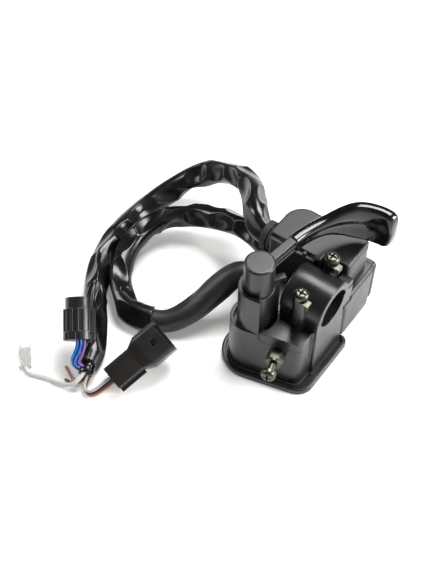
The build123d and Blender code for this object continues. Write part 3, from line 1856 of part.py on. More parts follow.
def make_terminal_cover():
    """Small clear cover over the terminal of the sense lead."""
    plane = Plane(origin=sense_route[-1], x_dir=(0, 0, 1), z_dir=tuple(cover_axis))
    with BuildPart() as cover:
        with BuildSketch(plane):
            RectangleRounded(terminal_height, terminal_width, edge_round)
        extrude(amount=terminal_length)
        with BuildSketch(plane.offset(terminal_length)):
            Rectangle(terminal_height - 2 * terminal_wall, terminal_width - 2 * terminal_wall)
        extrude(amount=-terminal_length * terminal_share, mode=Mode.SUBTRACT)
    return cover.part


lever_core = make_lever_core()
pieces = {
    "throttle_case": make_throttle_case(),
    "case_cover": make_case_cover(),
    "cover_gasket": make_cover_gasket(),
    "cover_screws": make_cover_screws(),
    "bar_seat": make_bar_seat(),
    "seat_screws": make_seat_screws(),
    "clamp_cap": make_clamp_cap(),
    "clamp_tabs": make_clamp_tabs(),
    "clamp_screws": make_clamp_screws(),
    "thumb_lever": make_thumb_lever(lever_core),
    "lever_grip": make_lever_grip(lever_core),
    "pivot_shaft": make_pivot_shaft(),
    "upper_bush": make_bush(column_height - seal_height - bush_length),
    "lower_bush": make_bush(lower_boss_end),
    "shaft_seal": make_shaft_seal(),
    "cable_drum": make_cable_drum(),
    "return_spring": make_return_spring(),
    "drum_washer": make_drum_washer(),
    "drum_nut": make_drum_nut(),
    "throttle_switch": make_throttle_switch(),
    "throttle_switch_screw": make_throttle_switch_screw(),
    "limiter_screw": make_limiter_screw(),
    "limiter_locknut": make_limiter_locknut(),
    "box_upper_shell": make_box_upper_shell(),
    "box_lower_shell": make_box_lower_shell(),
    "box_screws": make_box_screws(),
    "box_mount_screws": make_box_mount_screws(),
    "switch_panel": make_switch_panel(),
    "panel_screws": make_panel_screws(),
    "selector_knob": make_selector_knob(),
    "selector_contact": make_selector_contact(),
    "detent_ball": make_detent_ball(),
    "detent_spring": make_detent_spring(),
    "push_button": make_push_button(),
    "button_boot_ring": make_button_boot_ring(),
    "button_contact": make_button_contact(),
    "button_spring": make_button_spring(),
    "switch_base": make_switch_base(),
    "base_contacts": make_base_contacts(),
    "box_grommet": make_grommet(main_exit, main_radius, box_wall),
    "link_grommet": make_grommet(link_exit, link_radius, box_wall),
    "case_grommet": make_grommet(lead_exit, lead_radius, case_wall),
    "main_sleeve": make_tube("main_sleeve", [main_route], main_radius),
    "link_sleeve": make_tube("link_sleeve", [link_route], link_radius),
    "case_lead": make_tube("case_lead", [lead_route], lead_radius),
    "sleeve_tie": make_sleeve_tie(),
    "harness_tape": make_tube("harness_tape", [tape_route], tape_radius),
    "blue_wires": make_blue_wires(),
    "violet_wire": make_violet_wire(),
    "plug_wires": make_plug_wires(),
    "spare_leads": make_tube("spare_leads", [pink_route, dark_route], wire_radius),
    "sense_lead": make_tube("sense_lead", [sense_route], sense_radius),
    "round_connector": make_round_connector(),
    "round_insert": make_round_insert(),
    "square_connector": make_square_connector(),
    "square_insert": make_square_insert(),
    "terminal_cover": make_terminal_cover(),
}

os.makedirs("parts", exist_ok=True)
for name, piece in pieces.items():
    piece.label = name
    export_step(piece, f"parts/{name}.step")
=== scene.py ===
"""Looks of the handlebar switch cluster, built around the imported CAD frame.

Routes, radii, the lever cover and the camera's sensor are in millimetres, all else in metres."""

import json
import math
import random

import bpy
from mathutils import Matrix, Vector


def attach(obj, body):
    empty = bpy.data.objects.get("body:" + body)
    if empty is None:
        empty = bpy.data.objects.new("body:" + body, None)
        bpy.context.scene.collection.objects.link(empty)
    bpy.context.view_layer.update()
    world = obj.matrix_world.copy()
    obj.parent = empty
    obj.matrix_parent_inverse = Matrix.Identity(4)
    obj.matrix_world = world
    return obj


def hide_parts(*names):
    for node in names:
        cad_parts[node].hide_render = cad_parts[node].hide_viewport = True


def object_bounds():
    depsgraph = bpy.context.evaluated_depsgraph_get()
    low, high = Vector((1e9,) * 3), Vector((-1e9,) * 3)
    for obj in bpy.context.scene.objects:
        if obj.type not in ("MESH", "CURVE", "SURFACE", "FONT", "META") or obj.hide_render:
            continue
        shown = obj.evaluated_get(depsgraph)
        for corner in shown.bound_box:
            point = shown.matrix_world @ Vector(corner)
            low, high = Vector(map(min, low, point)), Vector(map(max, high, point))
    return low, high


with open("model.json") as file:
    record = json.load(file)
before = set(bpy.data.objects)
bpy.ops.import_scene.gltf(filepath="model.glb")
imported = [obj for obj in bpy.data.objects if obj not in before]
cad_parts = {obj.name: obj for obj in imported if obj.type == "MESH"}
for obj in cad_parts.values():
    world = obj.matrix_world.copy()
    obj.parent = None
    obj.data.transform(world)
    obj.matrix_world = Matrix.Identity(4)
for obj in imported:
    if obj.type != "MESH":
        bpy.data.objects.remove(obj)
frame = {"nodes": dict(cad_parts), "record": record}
cad_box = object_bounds()
nodes = frame["nodes"]
scene = bpy.context.scene
MM = 0.001
full_turn = 2 * math.pi

floor_height = -0.0465
lowest = -0.04645  # the sleeves, the case lead and the tape end here, just above the floor

# Camera, as fitted to the photograph
camera_place = (0.139985, -0.27624, 0.414796)
camera_right = Vector((0.80427, 0.59427, 0.0))
camera_up = Vector((-0.47437, 0.642, 0.60234))
camera_back = Vector((0.35795, -0.48444, 0.79824))
sensor = 36.0
focal_pixels = 1000.0
image_height = 571.0


def make_camera():
    lens = bpy.data.cameras.new("camera")
    lens.sensor_width = sensor
    lens.lens = focal_pixels / image_height * sensor
    lens.clip_start = 0.01
    camera = bpy.data.objects.new("camera", lens)
    scene.collection.objects.link(camera)
    turn = Matrix((camera_right, camera_up, camera_back)).transposed().to_4x4()
    camera.matrix_world = Matrix.Translation(camera_place) @ turn
    scene.camera = camera


make_camera()


# Routes of the cords, as the CAD has them. Only the case lead's differs: at the case it lies 4 to
# 5 mm higher.
main_route = [
    (-40.6, 22, -1), (-48.4, 22, -1), (-55.6, 26.8, 2.6), (-64.5, 38, 2.4), (-80.5, 53, -7),
    (-100.4, 59.4, -18), (-113.6, 55, -27), (-122.5, 46, -33.5), (-129.8, 33, -38.4),
    (-133, 15.5, -40.2), (-132.2, -4.5, -40.2), (-128, -22, -40.2), (-120.6, -36.4, -40.2),
    (-111.4, -48.2, -40.2), (-102.4, -58.6, -40.2), (-95.6, -67.5, -40.2),
    (-90.1, -75.6, -40.2), (-86.5, -83.4, -40.2),
]
link_route = [
    (-38.8, 25.5, -17.5), (-46.4, 25.5, -17.5), (-54.8, 27.6, -16.4), (-66, 30.4, -17.9),
    (-79, 32.4, -23.6), (-92, 31.8, -28.4), (-103.2, 28, -31.2), (-112.2, 20.6, -32.6),
    (-117.8, 9.4, -33.8), (-119.2, -4.7, -35.2), (-116.4, -17.4, -37.2), (-110.8, -28, -39.2),
    (-103.4, -36, -40.4), (-94.5, -41.4, -40.4), (-85, -42.6, -40.4), (-77.4, -39.4, -40.4),
]
lead_route = [
    (-77.4, -39.4, -40.4), (-70.76, -36.6, -40.4), (-65, -29.8, -38.2), (-60, -20.8, -34.2),
    (-56.4, -13.4, -28.6), (-53.2, -6.4, -23.4), (-49.6, 0.2, -19.6), (-45, 4, -18.4),
    (-37.2, 4, -18.9),
]
tape_route = [(-86.5, -83.4, -40.2), (-85.243, -86.124, -40.2), (-84.1, -88.6, -40.5)]
blue_route = [
    (-85.6, -86.4, -40.2), (-89, -87.8, -39), (-91.6, -88.6, -35.4), (-91.6, -86.8, -31),
    (-91.067, -83.33, -27.6), (-93.2, -80.6, -25.6),
]
plug_route = [
    (-82.7, -88, -42), (-81.4, -92.2, -42.8), (-78.8, -95.4, -43.4), (-75.2, -95.6, -43),
    (-72.6, -92.2, -42), (-70.92, -86.754, -40.337), (-69.7, -83, -38.9),
]
pink_route = [
    (-84.65, -88.6, -43.7), (-84.2, -91.6, -44.8), (-87.6, -93.6, -45.6), (-93.2, -92, -45.6),
    (-98.6, -89, -45.6),
]
dark_route = [
    (-84.9, -88.8, -41.6), (-84.2, -92.4, -42.6), (-87.6, -95.6, -44.4), (-93.2, -95.4, -45.6),
]
sense_route = [
    (-84.7, -88.6, -38.9), (-84, -93.4, -39.6), (-87.2, -98, -42.6), (-94, -99.6, -45.1),
    (-101.6, -100.8, -45.1), (-107.8, -103.2, -45.1), (-112.2, -104.8, -45.1),
    (-115.4, -102.8, -44.8),
]
main_radius = 6.2
link_radius = 5.4
lead_radius = 6.1
tape_radius = 4.6
wire_radius = 0.8
sense_radius = 1.2

# Lengths along the routes
main_length = 0.2538
link_length = 0.1701
lead_length = 0.0664


def beside(route, side, up):
    """A route moved sideways and up in a frame that follows the route without twist."""
    points = [Vector(point) for point in route]
    across = (points[1] - points[0]).cross(Vector((0, 0, 1)))
    last = len(points) - 1
    moved = []
    for index, point in enumerate(points):
        ahead = (points[min(index + 1, last)] - points[max(index - 1, 0)]).normalized()
        across = (across - ahead * across.dot(ahead)).normalized()
        over = across.cross(ahead)
        moved.append(point + across * side + over * up)
    return moved


def nurbs(name, route):
    """A curve object with one open spline whose control points are the route's."""
    curve = bpy.data.curves.new(name, "CURVE")
    curve.dimensions = "3D"
    curve.resolution_u = 16
    spline = curve.splines.new("NURBS")
    spline.points.add(len(route) - 1)
    for point, place in zip(spline.points, route):
        point.co = (*(Vector(place) * MM), 1.0)
    spline.order_u = 3
    spline.use_endpoint_u = True
    made = bpy.data.objects.new(name, curve)
    scene.collection.objects.link(made)
    return made


def line_of(route):
    """Points along the route's evaluated spline."""
    guide = nurbs("guide", route)
    bpy.context.view_layer.update()
    mesh = bpy.data.meshes.new_from_object(guide)
    points = [vertex.co.copy() for vertex in mesh.vertices]
    curve = guide.data
    bpy.data.objects.remove(guide)
    bpy.data.curves.remove(curve)
    bpy.data.meshes.remove(mesh)
    return points


def evenly(points, spacing):
    """The same line with points at an even spacing, and how far along each one is."""
    along = [0.0]
    for before, after in zip(points, points[1:]):
        along.append(along[-1] + (after - before).length)
    count = max(2, round(along[-1] / spacing))
    places = []
    reached = []
    segment = 0
    for index in range(count + 1):
        target = along[-1] * index / count
        while segment < len(points) - 2 and along[segment + 1] < target:
            segment += 1
        span = max(along[segment + 1] - along[segment], 1e-9)
        share = (target - along[segment]) / span
        places.append(points[segment].lerp(points[segment + 1], share))
        reached.append(target)
    return places, reached


def frames_along(points):
    """Side and up at each point, carried along without twist."""
    side = (points[1] - points[0]).cross(Vector((0, 0, 1))).normalized()
    found = []
    last = len(points) - 1
    for index in range(len(points)):
        ahead = (points[min(index + 1, last)] - points[max(index - 1, 0)]).normalized()
        side = (side - ahead * side.dot(ahead)).normalized()
        found.append((side, side.cross(ahead)))
    return found


def mesh_object(name, vertices, faces, smooth=True):
    mesh = bpy.data.meshes.new(name)
    mesh.from_pydata(vertices, [], faces)
    mesh.update()
    if smooth:
        mesh.polygons.foreach_set("use_smooth", [True] * len(mesh.polygons))
    made = bpy.data.objects.new(name, mesh)
    scene.collection.objects.link(made)
    return made


def ring_faces(rings, around):
    """Quads between neighbouring rings, and one cap at each end."""
    faces = []
    for ring in range(rings - 1):
        for step in range(around):
            here = ring * around + step
            beside_it = ring * around + (step + 1) % around
            faces.append((here, beside_it, beside_it + around, here + around))
    faces.append(tuple(range(around - 1, -1, -1)))
    start = (rings - 1) * around
    faces.append(tuple(range(start, start + around)))
    return faces


def tube(name, points, spacing, around, reach_at):
    """Closed mesh tube along the points, kept above the floor and held inside the solids' box on
    its low-x and high-y sides.

    reach_at gives the distance from the line."""
    places, reached = evenly(points, spacing)
    vertices = []
    for place, far, (side, up) in zip(places, reached, frames_along(places)):
        for step in range(around):
            angle = full_turn * step / around
            out = side * math.cos(angle) + up * math.sin(angle)
            point = place + out * reach_at(far, reached[-1], angle)
            point.x = max(point.x, cad_box[0][0])
            point.y = min(point.y, cad_box[1][1])
            point.z = max(point.z, lowest)
            vertices.append(point)
    return mesh_object(name, vertices, ring_faces(len(places), around))


# How a sleeve departs from round: by which share of its radius, and how far along it the form
# runs for one radian
swell, swell_pace = 0.06, 0.016
oval, oval_pace = 0.05, 0.021
three_sided, three_sided_pace = 0.03, 0.012

# Flat places: the turn from one to the next and how far it strays, their stray along the sleeve
# in pitches, twist per metre, the ranges of their half length and depth, and how they are bent
facet_turn, facet_turn_stray = 2.2, 0.45
facet_place_stray = 0.3
facet_twist = 38.0
facet_half_lengths = (0.75, 1.35)
facet_depths = (0.55, 1.0)
facet_ends = 1.6
facet_half_angle = 1.25
facet_bow = 0.42
hollow_share, hollow_half_angle = 0.34, 0.8
crease_softness = 0.035

# The long crease of a sleeve that is pressed flat; it grows from nothing over crease_start
crease_angle = math.pi - 0.45
crease_sway, crease_sway_pace = 0.22, 0.0055
crease_height, crease_width = 0.17, 0.17
crease_start = 0.02

# Each end narrows to its neck over this length
neck_length = 0.012


def wrapped(angle):
    return (angle + math.pi) % full_turn - math.pi


def facet_list(seed, length, pitch, half_length, depth):
    """Flat places of a collapsed sleeve: place, angle, twist, half length and depth of each."""
    draw = random.Random(seed)
    count = int(length / pitch)
    turn = draw.uniform(0, full_turn)
    facets = []
    for index in range(count + 1):
        turn += facet_turn + draw.uniform(-facet_turn_stray, facet_turn_stray)
        stray = draw.uniform(-facet_place_stray, facet_place_stray)
        facets.append(
            (
                length * (index + stray) / count,
                turn,
                draw.uniform(-facet_twist, facet_twist),
                half_length * draw.uniform(*facet_half_lengths),
                depth * draw.uniform(*facet_depths),
            )
        )
    return facets


def softer_minimum(first, second, width):
    """Minimum of two values with a rounded change from one to the other."""
    share = max(width - abs(first - second), 0.0) / width
    return min(first, second) - share * share * width / 4


def narrowed(neck, far):
    """Share of the full size at a distance from an end whose size is neck."""
    share = min(1.0, max(far, 0.0) / neck_length)
    return neck + (1.0 - neck) * math.sin(share * math.pi / 2)


def sleeve_shape(
    radius, seed, length, pitch, half_length, depth, fullness, necks, crease_from=math.inf
):
    """Reach of a collapsed sleeve: crossing flat places, hollow in the middle, creases between.

    From crease_from on, one long crease runs along its side."""
    facets = facet_list(seed, length, pitch, half_length, depth)
    draw = random.Random(seed + 1)
    phases = [draw.uniform(0, full_turn) for _ in range(3)]
    first_neck, last_neck = necks

    def reach(far, whole, angle):
        full = fullness * (1.0 + swell * math.sin(far / swell_pace + phases[0]))
        full += oval * math.cos(2 * angle + far / oval_pace + phases[1])
        full += three_sided * math.sin(3 * angle - far / three_sided_pace + phases[2])
        for place, at, twist, half, deep in facets:
            along = (far - place) / half
            if abs(along) > facet_ends:
                continue
            turned = wrapped(angle - at - twist * (far - place))
            if abs(turned) > facet_half_angle:
                continue
            flat = (fullness - deep + facet_bow * along * along) / math.cos(turned)
            hollow = max(1.0 - along * along, 0.0)
            hollow *= max(1.0 - (turned / hollow_half_angle) ** 2, 0.0)
            full = softer_minimum(full, flat - hollow_share * deep * hollow, crease_softness)
        sway = crease_sway * math.sin(far / crease_sway_pace)
        off_crease = wrapped(angle - crease_angle + sway) / crease_width
        begun = min(max((far - crease_from) / crease_start, 0.0), 1.0)
        full += crease_height * begun * math.exp(-(off_crease**2))
        full *= narrowed(first_neck, far) * narrowed(last_neck, whole - far)
        return radius * full

    return reach


# Materials
class Nodes:
    """A node tree under construction."""

    def __init__(self, tree):
        self.tree = tree
        self.tree.nodes.clear()

    def add(self, kind, **values):
        made = self.tree.nodes.new(kind)
        for key, value in values.items():
            setattr(made, key, value)
        return made

    def wire(self, source, target):
        self.tree.links.new(source, target)

    def ranged(self, source, low, high, to_low, to_high, interpolation="LINEAR"):
        made = self.add("ShaderNodeMapRange", interpolation_type=interpolation)
        keys = ("From Min", "From Max", "To Min", "To Max")
        for key, value in zip(keys, (low, high, to_low, to_high)):
            made.inputs[key].default_value = value
        self.wire(source, made.inputs["Value"])
        return made.outputs["Result"]

    def combined(self, operation, first, second):
        """Result of an operation on two values, each of them a number or a socket."""
        made = self.add("ShaderNodeMath", operation=operation)
        for index, value in enumerate((first, second)):
            if isinstance(value, float):
                made.inputs[index].default_value = value
            else:
                self.wire(value, made.inputs[index])
        return made.outputs["Value"]


class Look(Nodes):
    """A node material under construction."""

    def __init__(self, name):
        self.material = bpy.data.materials.new(name)
        self.material.use_nodes = True
        super().__init__(self.material.node_tree)
        self.place = self.add("ShaderNodeTexCoord").outputs["Object"]

    def noise(self, scale, detail=3.0, rough=0.55, distortion=0.0):
        made = self.add("ShaderNodeTexNoise")
        made.inputs["Scale"].default_value = scale
        made.inputs["Detail"].default_value = detail
        made.inputs["Roughness"].default_value = rough
        made.inputs["Distortion"].default_value = distortion
        self.wire(self.place, made.inputs["Vector"])
        return made.outputs["Fac"]

    def mixed(self, share, first, second):
        """Colour mix; each of first and second is a colour or a socket."""
        made = self.add("ShaderNodeMix", data_type="RGBA")
        self.wire(share, made.inputs["Factor"])
        for key, value in (("A", first), ("B", second)):
            socket = [s for s in made.inputs if s.name == key and s.type == "RGBA"][0]
            if isinstance(value, tuple):
                socket.default_value = (*value, 1.0)
            else:
                self.wire(value, socket)
        return [s for s in made.outputs if s.type == "RGBA"][0]

    def bumped(self, height, distance, strength, normal=None):
        made = self.add("ShaderNodeBump")
        made.inputs["Strength"].default_value = strength
        made.inputs["Distance"].default_value = distance
        self.wire(height, made.inputs["Height"])
        if normal is not None:
            self.wire(normal, made.inputs["Normal"])
        return made.outputs["Normal"]

    def edge_share(self, rounded, wear_and_edge_highlight_share):
        """Where the rounded normal leaves the true one, broken up into patches: where the edge
        colour goes, which is partly wear and partly painted highlight.
        """
        true_normal = self.add("ShaderNodeNewGeometry").outputs["Normal"]
        dot = self.add("ShaderNodeVectorMath", operation="DOT_PRODUCT")
        self.wire(rounded, dot.inputs[0])
        self.wire(true_normal, dot.inputs[1])
        mask = self.ranged(dot.outputs["Value"], 0.99, 0.86, 0.0, wear_and_edge_highlight_share)
        patches = self.ranged(self.noise(400.0, 3.0), 0.42, 0.62, 0.25, 1.0)
        return self.combined("MULTIPLY", mask, patches)

    def finish(self, colour, rough, normal, **settings):
        shader = self.add("ShaderNodeBsdfPrincipled")
        for key, value in settings.items():
            shader.inputs[key.replace("_", " ")].default_value = value
        for socket, value in (("Base Color", colour), ("Roughness", rough), ("Normal", normal)):
            self.wire(value, shader.inputs[socket])
        output = self.add("ShaderNodeOutputMaterial")
        self.wire(shader.outputs["BSDF"], output.inputs["Surface"])
        return self.material


def surface(
    name, colour, other, rough, swing, blotch=90.0, grain=1400.0, grain_depth=0.00002,
    grain_strength=0.35, round_edge=0.0005, worn=None, wear_and_edge_highlight_share=0.6, wave=None, **settings
):
    """Blotched colour, uneven roughness, grain, softened edges, and lighter edges that are partly
    wear and partly painted highlight.
    """
    look = Look(name)
    broad = look.noise(blotch, 4.0)
    fine = look.noise(grain, 2.0)
    tint = look.mixed(look.ranged(broad, 0.35, 0.65, 0.0, 1.0), colour, other)
    speck = look.ranged(fine, 0.35, 0.75, 0.0, 0.35)
    tint = look.mixed(speck, tint, tuple(1.5 * part for part in colour))
    normal = None
    if round_edge:
        bevel = look.add("ShaderNodeBevel", samples=6)
        bevel.inputs["Radius"].default_value = round_edge
        normal = bevel.outputs["Normal"]
        if worn is not None:
            # Lighter colour on the rounded edges: partly wear, partly a painted highlight along
            # them
            tint = look.mixed(look.edge_share(normal, wear_and_edge_highlight_share), tint, worn)
    rough_value = look.ranged(broad, 0.3, 0.7, rough - swing, rough + swing)
    if wave is not None:
        scale, depth = wave
        normal = look.bumped(look.noise(scale, 3.0, 0.5, 0.6), depth, 0.6, normal)
    normal = look.bumped(fine, grain_depth, grain_strength, normal)
    return look.finish(tint, rough_value, normal, **settings)


# Name: colour, other colour, roughness and its swing, and the rest by name
wire_coat = dict(blotch=260.0, grain=1500.0, round_edge=0.0, Coat_Weight=0.2)
look_table = {
    # Each edge colour below is partly wear and partly a painted highlight along the rounded edges
    "case_paint": (
        (0.0080, 0.0085, 0.0082), (0.0110, 0.0118, 0.0110), 0.31, 0.05,
        dict(
            grain=2100.0, grain_strength=0.45, round_edge=0.0008, worn=(0.038, 0.040, 0.038),
            Specular_IOR_Level=0.42,
        ),
    ),
    "box_plastic": (
        (0.0110, 0.0124, 0.0124), (0.0145, 0.0158, 0.0158), 0.38, 0.05,
        dict(
            grain=1700.0, grain_strength=0.4, round_edge=0.0013, worn=(0.060, 0.064, 0.064),
            Specular_IOR_Level=0.42,
        ),
    ),
    "grip_gloss": (
        (0.0035, 0.0033, 0.0035), (0.005, 0.0047, 0.005), 0.13, 0.03,
        dict(
            grain=700.0, grain_strength=0.04, round_edge=0.0, wave=(90.0, 0.0004),
            Coat_Weight=0.25, Coat_Roughness=0.05, Specular_IOR_Level=0.32,
        ),
    ),
    "vinyl": (
        (0.0035, 0.0034, 0.0038), (0.0055, 0.0053, 0.006), 0.23, 0.05,
        dict(
            grain=900.0, grain_strength=0.06, round_edge=0.0, wave=(120.0, 0.0002),
            Specular_IOR_Level=0.42,
        ),
    ),
    "tube_matte": (
        (0.0075, 0.0075, 0.0078), (0.0105, 0.0105, 0.011), 0.46, 0.06,
        dict(grain=1500.0, grain_strength=0.3, round_edge=0.0, wave=(110.0, 0.0006)),
    ),
    "zinc": (
        (0.088, 0.089, 0.070), (0.060, 0.061, 0.047), 0.33, 0.06,
        dict(
            blotch=500.0, grain=3000.0, grain_strength=0.2, round_edge=0.0002,
            worn=(0.30, 0.30, 0.26), Metallic=1.0,
        ),
    ),
    "steel": (
        (0.50, 0.50, 0.49), (0.38, 0.38, 0.37), 0.32, 0.08,
        dict(
            blotch=300.0, grain=2400.0, round_edge=0.0002, worn=(0.7, 0.7, 0.69), Metallic=1.0,
        ),
    ),
    "bearing": (
        (0.46, 0.34, 0.18), (0.36, 0.26, 0.14), 0.34, 0.08,
        dict(
            blotch=350.0, grain=2400.0, round_edge=0.0002, worn=(0.6, 0.47, 0.28), Metallic=1.0,
        ),
    ),
    "rubber": (
        (0.014, 0.014, 0.014), (0.021, 0.021, 0.020), 0.62, 0.08,
        dict(grain=1300.0, round_edge=0.0004, worn=(0.04, 0.04, 0.04)),
    ),
    "gasket": (
        (0.030, 0.030, 0.029), (0.045, 0.045, 0.043), 0.70, 0.08,
        dict(grain=1300.0, round_edge=0.0002, worn=(0.06, 0.06, 0.06)),
    ),
    "contact": (
        (0.72, 0.50, 0.26), (0.60, 0.40, 0.20), 0.28, 0.08,
        dict(
            blotch=400.0, grain=2400.0, round_edge=0.0001, worn=(0.85, 0.66, 0.4), Metallic=1.0,
        ),
    ),
    "insulation": (
        (0.30, 0.21, 0.12), (0.24, 0.17, 0.10), 0.50, 0.08,
        dict(grain=1700.0, round_edge=0.0003, worn=(0.4, 0.3, 0.2)),
    ),
    "knob": (
        (0.018, 0.018, 0.018), (0.024, 0.024, 0.024), 0.38, 0.06,
        dict(grain=1500.0, round_edge=0.0006, worn=(0.06, 0.06, 0.06)),
    ),
    "button_red": (
        (0.48, 0.02, 0.015), (0.40, 0.016, 0.012), 0.34, 0.06,
        dict(grain=1500.0, round_edge=0.0006, worn=(0.6, 0.1, 0.08)),
    ),
    "plug": (
        (0.0095, 0.0083, 0.0078), (0.0130, 0.0112, 0.0104), 0.32, 0.06,
        dict(grain=1900.0, grain_strength=0.35, round_edge=0.0005, worn=(0.035, 0.031, 0.028)),
    ),
    "blue_wire": ((0.008, 0.105, 0.40), (0.012, 0.15, 0.50), 0.32, 0.06, wire_coat),
    "violet_wire": ((0.16, 0.07, 0.34), (0.20, 0.10, 0.40), 0.32, 0.06, wire_coat),
    "grey_wire": ((0.34, 0.33, 0.32), (0.26, 0.25, 0.24), 0.34, 0.06, wire_coat),
    "pink_wire": ((0.55, 0.26, 0.20), (0.44, 0.19, 0.15), 0.36, 0.06, wire_coat),
    "dark_wire": ((0.016, 0.014, 0.013), (0.03, 0.022, 0.018), 0.34, 0.06, wire_coat),
    "pale_lead": (
        (0.62, 0.60, 0.58), (0.54, 0.51, 0.49), 0.38, 0.06,
        dict(blotch=260.0, grain=1500.0, round_edge=0.0, Transmission_Weight=0.25, IOR=1.4),
    ),
    "clear": (
        (0.90, 0.89, 0.88), (0.82, 0.81, 0.80), 0.18, 0.08,
        dict(blotch=400.0, grain=1200.0, round_edge=0.0003, Transmission_Weight=0.85, IOR=1.30),
    ),
}
looks = {name: surface(name, *row[:-1], **row[-1]) for name, row in look_table.items()}
for row in frame["record"]["subparts"]:
    part = nodes[row["node"]]
    part.data.materials.clear()
    part.data.materials.append(looks[row["material_slot"]])


def dressed(piece, body, look, slot, *replaced):
    """Gives a piece its material, its body and the nodes that it stands for. The slot argument is
    not used.
    """
    piece.data.materials.append(looks[look])
    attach(piece, body)
    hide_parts(*replaced)
    return piece


# Cords
sleeve_spacing, sleeve_around = 0.0007, 96
lead_spacing, lead_around = 0.001, 64
tape_spacing, tape_around = 0.0004, 48

main_line = line_of(main_route)
main_shape = sleeve_shape(
    main_radius * MM, seed=11, length=main_length, pitch=0.0068, half_length=0.0118, depth=0.42,
    fullness=1.16, necks=(0.88, 0.86), crease_from=0.165,
)
main_sleeve = tube("main_sleeve_skin", main_line, sleeve_spacing, sleeve_around, main_shape)
dressed(main_sleeve, "cluster", "vinyl", "vinyl", "main_sleeve")

link_line = line_of(link_route)
link_shape = sleeve_shape(
    link_radius * MM, seed=23, length=link_length, pitch=0.0064, half_length=0.0112, depth=0.44,
    fullness=1.27, necks=(0.80, 1.0),
)
link_sleeve = tube("link_sleeve_skin", link_line, sleeve_spacing, sleeve_around, link_shape)
dressed(link_sleeve, "cluster", "vinyl", "vinyl", "link_sleeve")

lead_shape = sleeve_shape(
    lead_radius * MM, seed=5, length=lead_length, pitch=0.021, half_length=0.020, depth=0.10,
    fullness=1.12, necks=(1.0, 0.86),
)
case_lead = tube("case_lead_skin", line_of(lead_route), lead_spacing, lead_around, lead_shape)
dressed(case_lead, "cluster", "tube_matte", "tube_matte", "case_lead")

# Tape: how far one turn brings it, and in shares of its radius how thick a turn is, how much the
# wrap narrows and how far it is from round
tape_pitch = 0.0032
tape_layer = 0.06
tape_narrowing = 0.16
tape_unround = 0.03


def tape_reach(far, whole, angle):
    """Overlapping turns of tape that narrow towards the wires."""
    turn = (far / tape_pitch + angle / full_turn) % 1.0
    narrowing = 1.0 - tape_narrowing * (far / whole) ** 2
    layered = narrowing * (1.0 - tape_layer + tape_layer * turn)
    return tape_radius * MM * (layered + tape_unround * math.sin(3 * angle))


harness_tape = tube(
    "harness_tape_skin", line_of(tape_route), tape_spacing, tape_around, tape_reach
)
dressed(harness_tape, "cluster", "vinyl", "vinyl", "harness_tape")


def wire(name, route, radius, look, slot, node):
    """A round wire, as a curve with a bevel."""
    made = nurbs(name, route)
    made.data.bevel_depth = radius * MM
    made.data.bevel_resolution = 5
    made.data.use_fill_caps = True
    return dressed(made, "cluster", look, slot, node)


# Wires of a bundle lie one pitch apart
wire_pitch = 2.3 * wire_radius
blue_places = [(-0.5, -0.5), (0.5, -0.5), (-0.5, 0.5), (0.5, 0.5)]
wire_list = [
    (f"blue_wire_{number}", beside(blue_route, side * wire_pitch, up * wire_pitch),
     "blue_wire", "blue_wire", "blue_wires")
    for number, (side, up) in enumerate(blue_places, 1)
]
wire_list.append(
    ("violet_wire_one", beside(blue_route, 0, 1.5 * wire_pitch),
     "violet_wire", "violet_wire", "violet_wire")
)
wire_list += [
    (f"plug_wire_{number}", beside(plug_route, 0, (number - 2) * wire_pitch),
     look, "grey_wire", "plug_wires")
    for number, look in enumerate(("pink_wire", "dark_wire", "grey_wire"), 1)
]
wire_list += [
    ("spare_lead_pink", pink_route, "pink_wire", "pink_wire", "spare_leads"),
    ("spare_lead_dark", dark_route, "dark_wire", "pink_wire", "spare_leads"),
]
wires = [
    wire(name, route, wire_radius, look, slot, node)
    for name, route, look, slot, node in wire_list
]
sense_lead = wire(
    "sense_lead_skin", sense_route, sense_radius, "pale_lead", "pale_lead", "sense_lead"
)


# Lever cover. The stations of its middle line are shares of the lever's reach from the hub.
hub_place = (-20.2, -22.0)
lever_reach = 74.0
lever_shares = [
    (0.044, 0.335), (0.060, 0.415), (0.093, 0.515), (0.135, 0.605), (0.190, 0.690),
    (0.255, 0.760), (0.330, 0.808), (0.420, 0.833), (0.490, 0.836), (0.540, 0.830),
]
# How far the section has changed from the arm's to the paddle's, and its top edge apart
lever_growth = [0, 0, 0.02, 0.14, 0.48, 0.84, 1.0, 1.0, 0.96, 0.80]
lever_rise = [0, 0, 0.05, 0.20, 0.60, 0.94, 1.0, 1.0, 0.96, 0.84]
# Thickness, lower edge and upper edge
arm_section = (6.6, 24.0, 33.4)
paddle_section = (8.0, 15.4, 40.0)
lever_around = 64
station_steps = 12
# Below 1 a power makes the section squarer, sideways and upwards
side_power, rise_power = 0.55, 0.62
# The tip's length in stations, its two powers, and what is left there of thickness and height
tip_stations = 1.3
tip_slope_power, tip_round_power = 3.6, 0.42
tip_thickness, tip_height, end_height = 0.25, 0.35, 0.4
# Height, level and width of each: lip and hollow of the paddle, groove of the arm
lip_form = (0.5, 0.06, 0.07)
hollow_form = (1.9, 0.40, 0.20)
groove_form = (0.55, 0.55, 0.16)


def smooth_between(values, position):
    """Catmull-Rom value of a list at a position counted in list steps."""
    last = len(values) - 1
    start = min(int(position), last - 1)
    share = position - start
    p0, p1, p2, p3 = [values[max(min(start + step, last), 0)] for step in (-1, 0, 1, 2)]
    return 0.5 * (
        2 * p1 + (p2 - p0) * share + (2 * p0 - 5 * p1 + 4 * p2 - p3) * share**2
        + (3 * p1 - p0 - 3 * p2 + p3) * share**3
    )


def ridge(level, form):
    height, at, width = form
    return height * math.exp(-(((level - at) / width) ** 2))


def between(first, second, share):
    return first + share * (second - first)


def rounded_power(value, power):
    return math.copysign(abs(value) ** power, value)


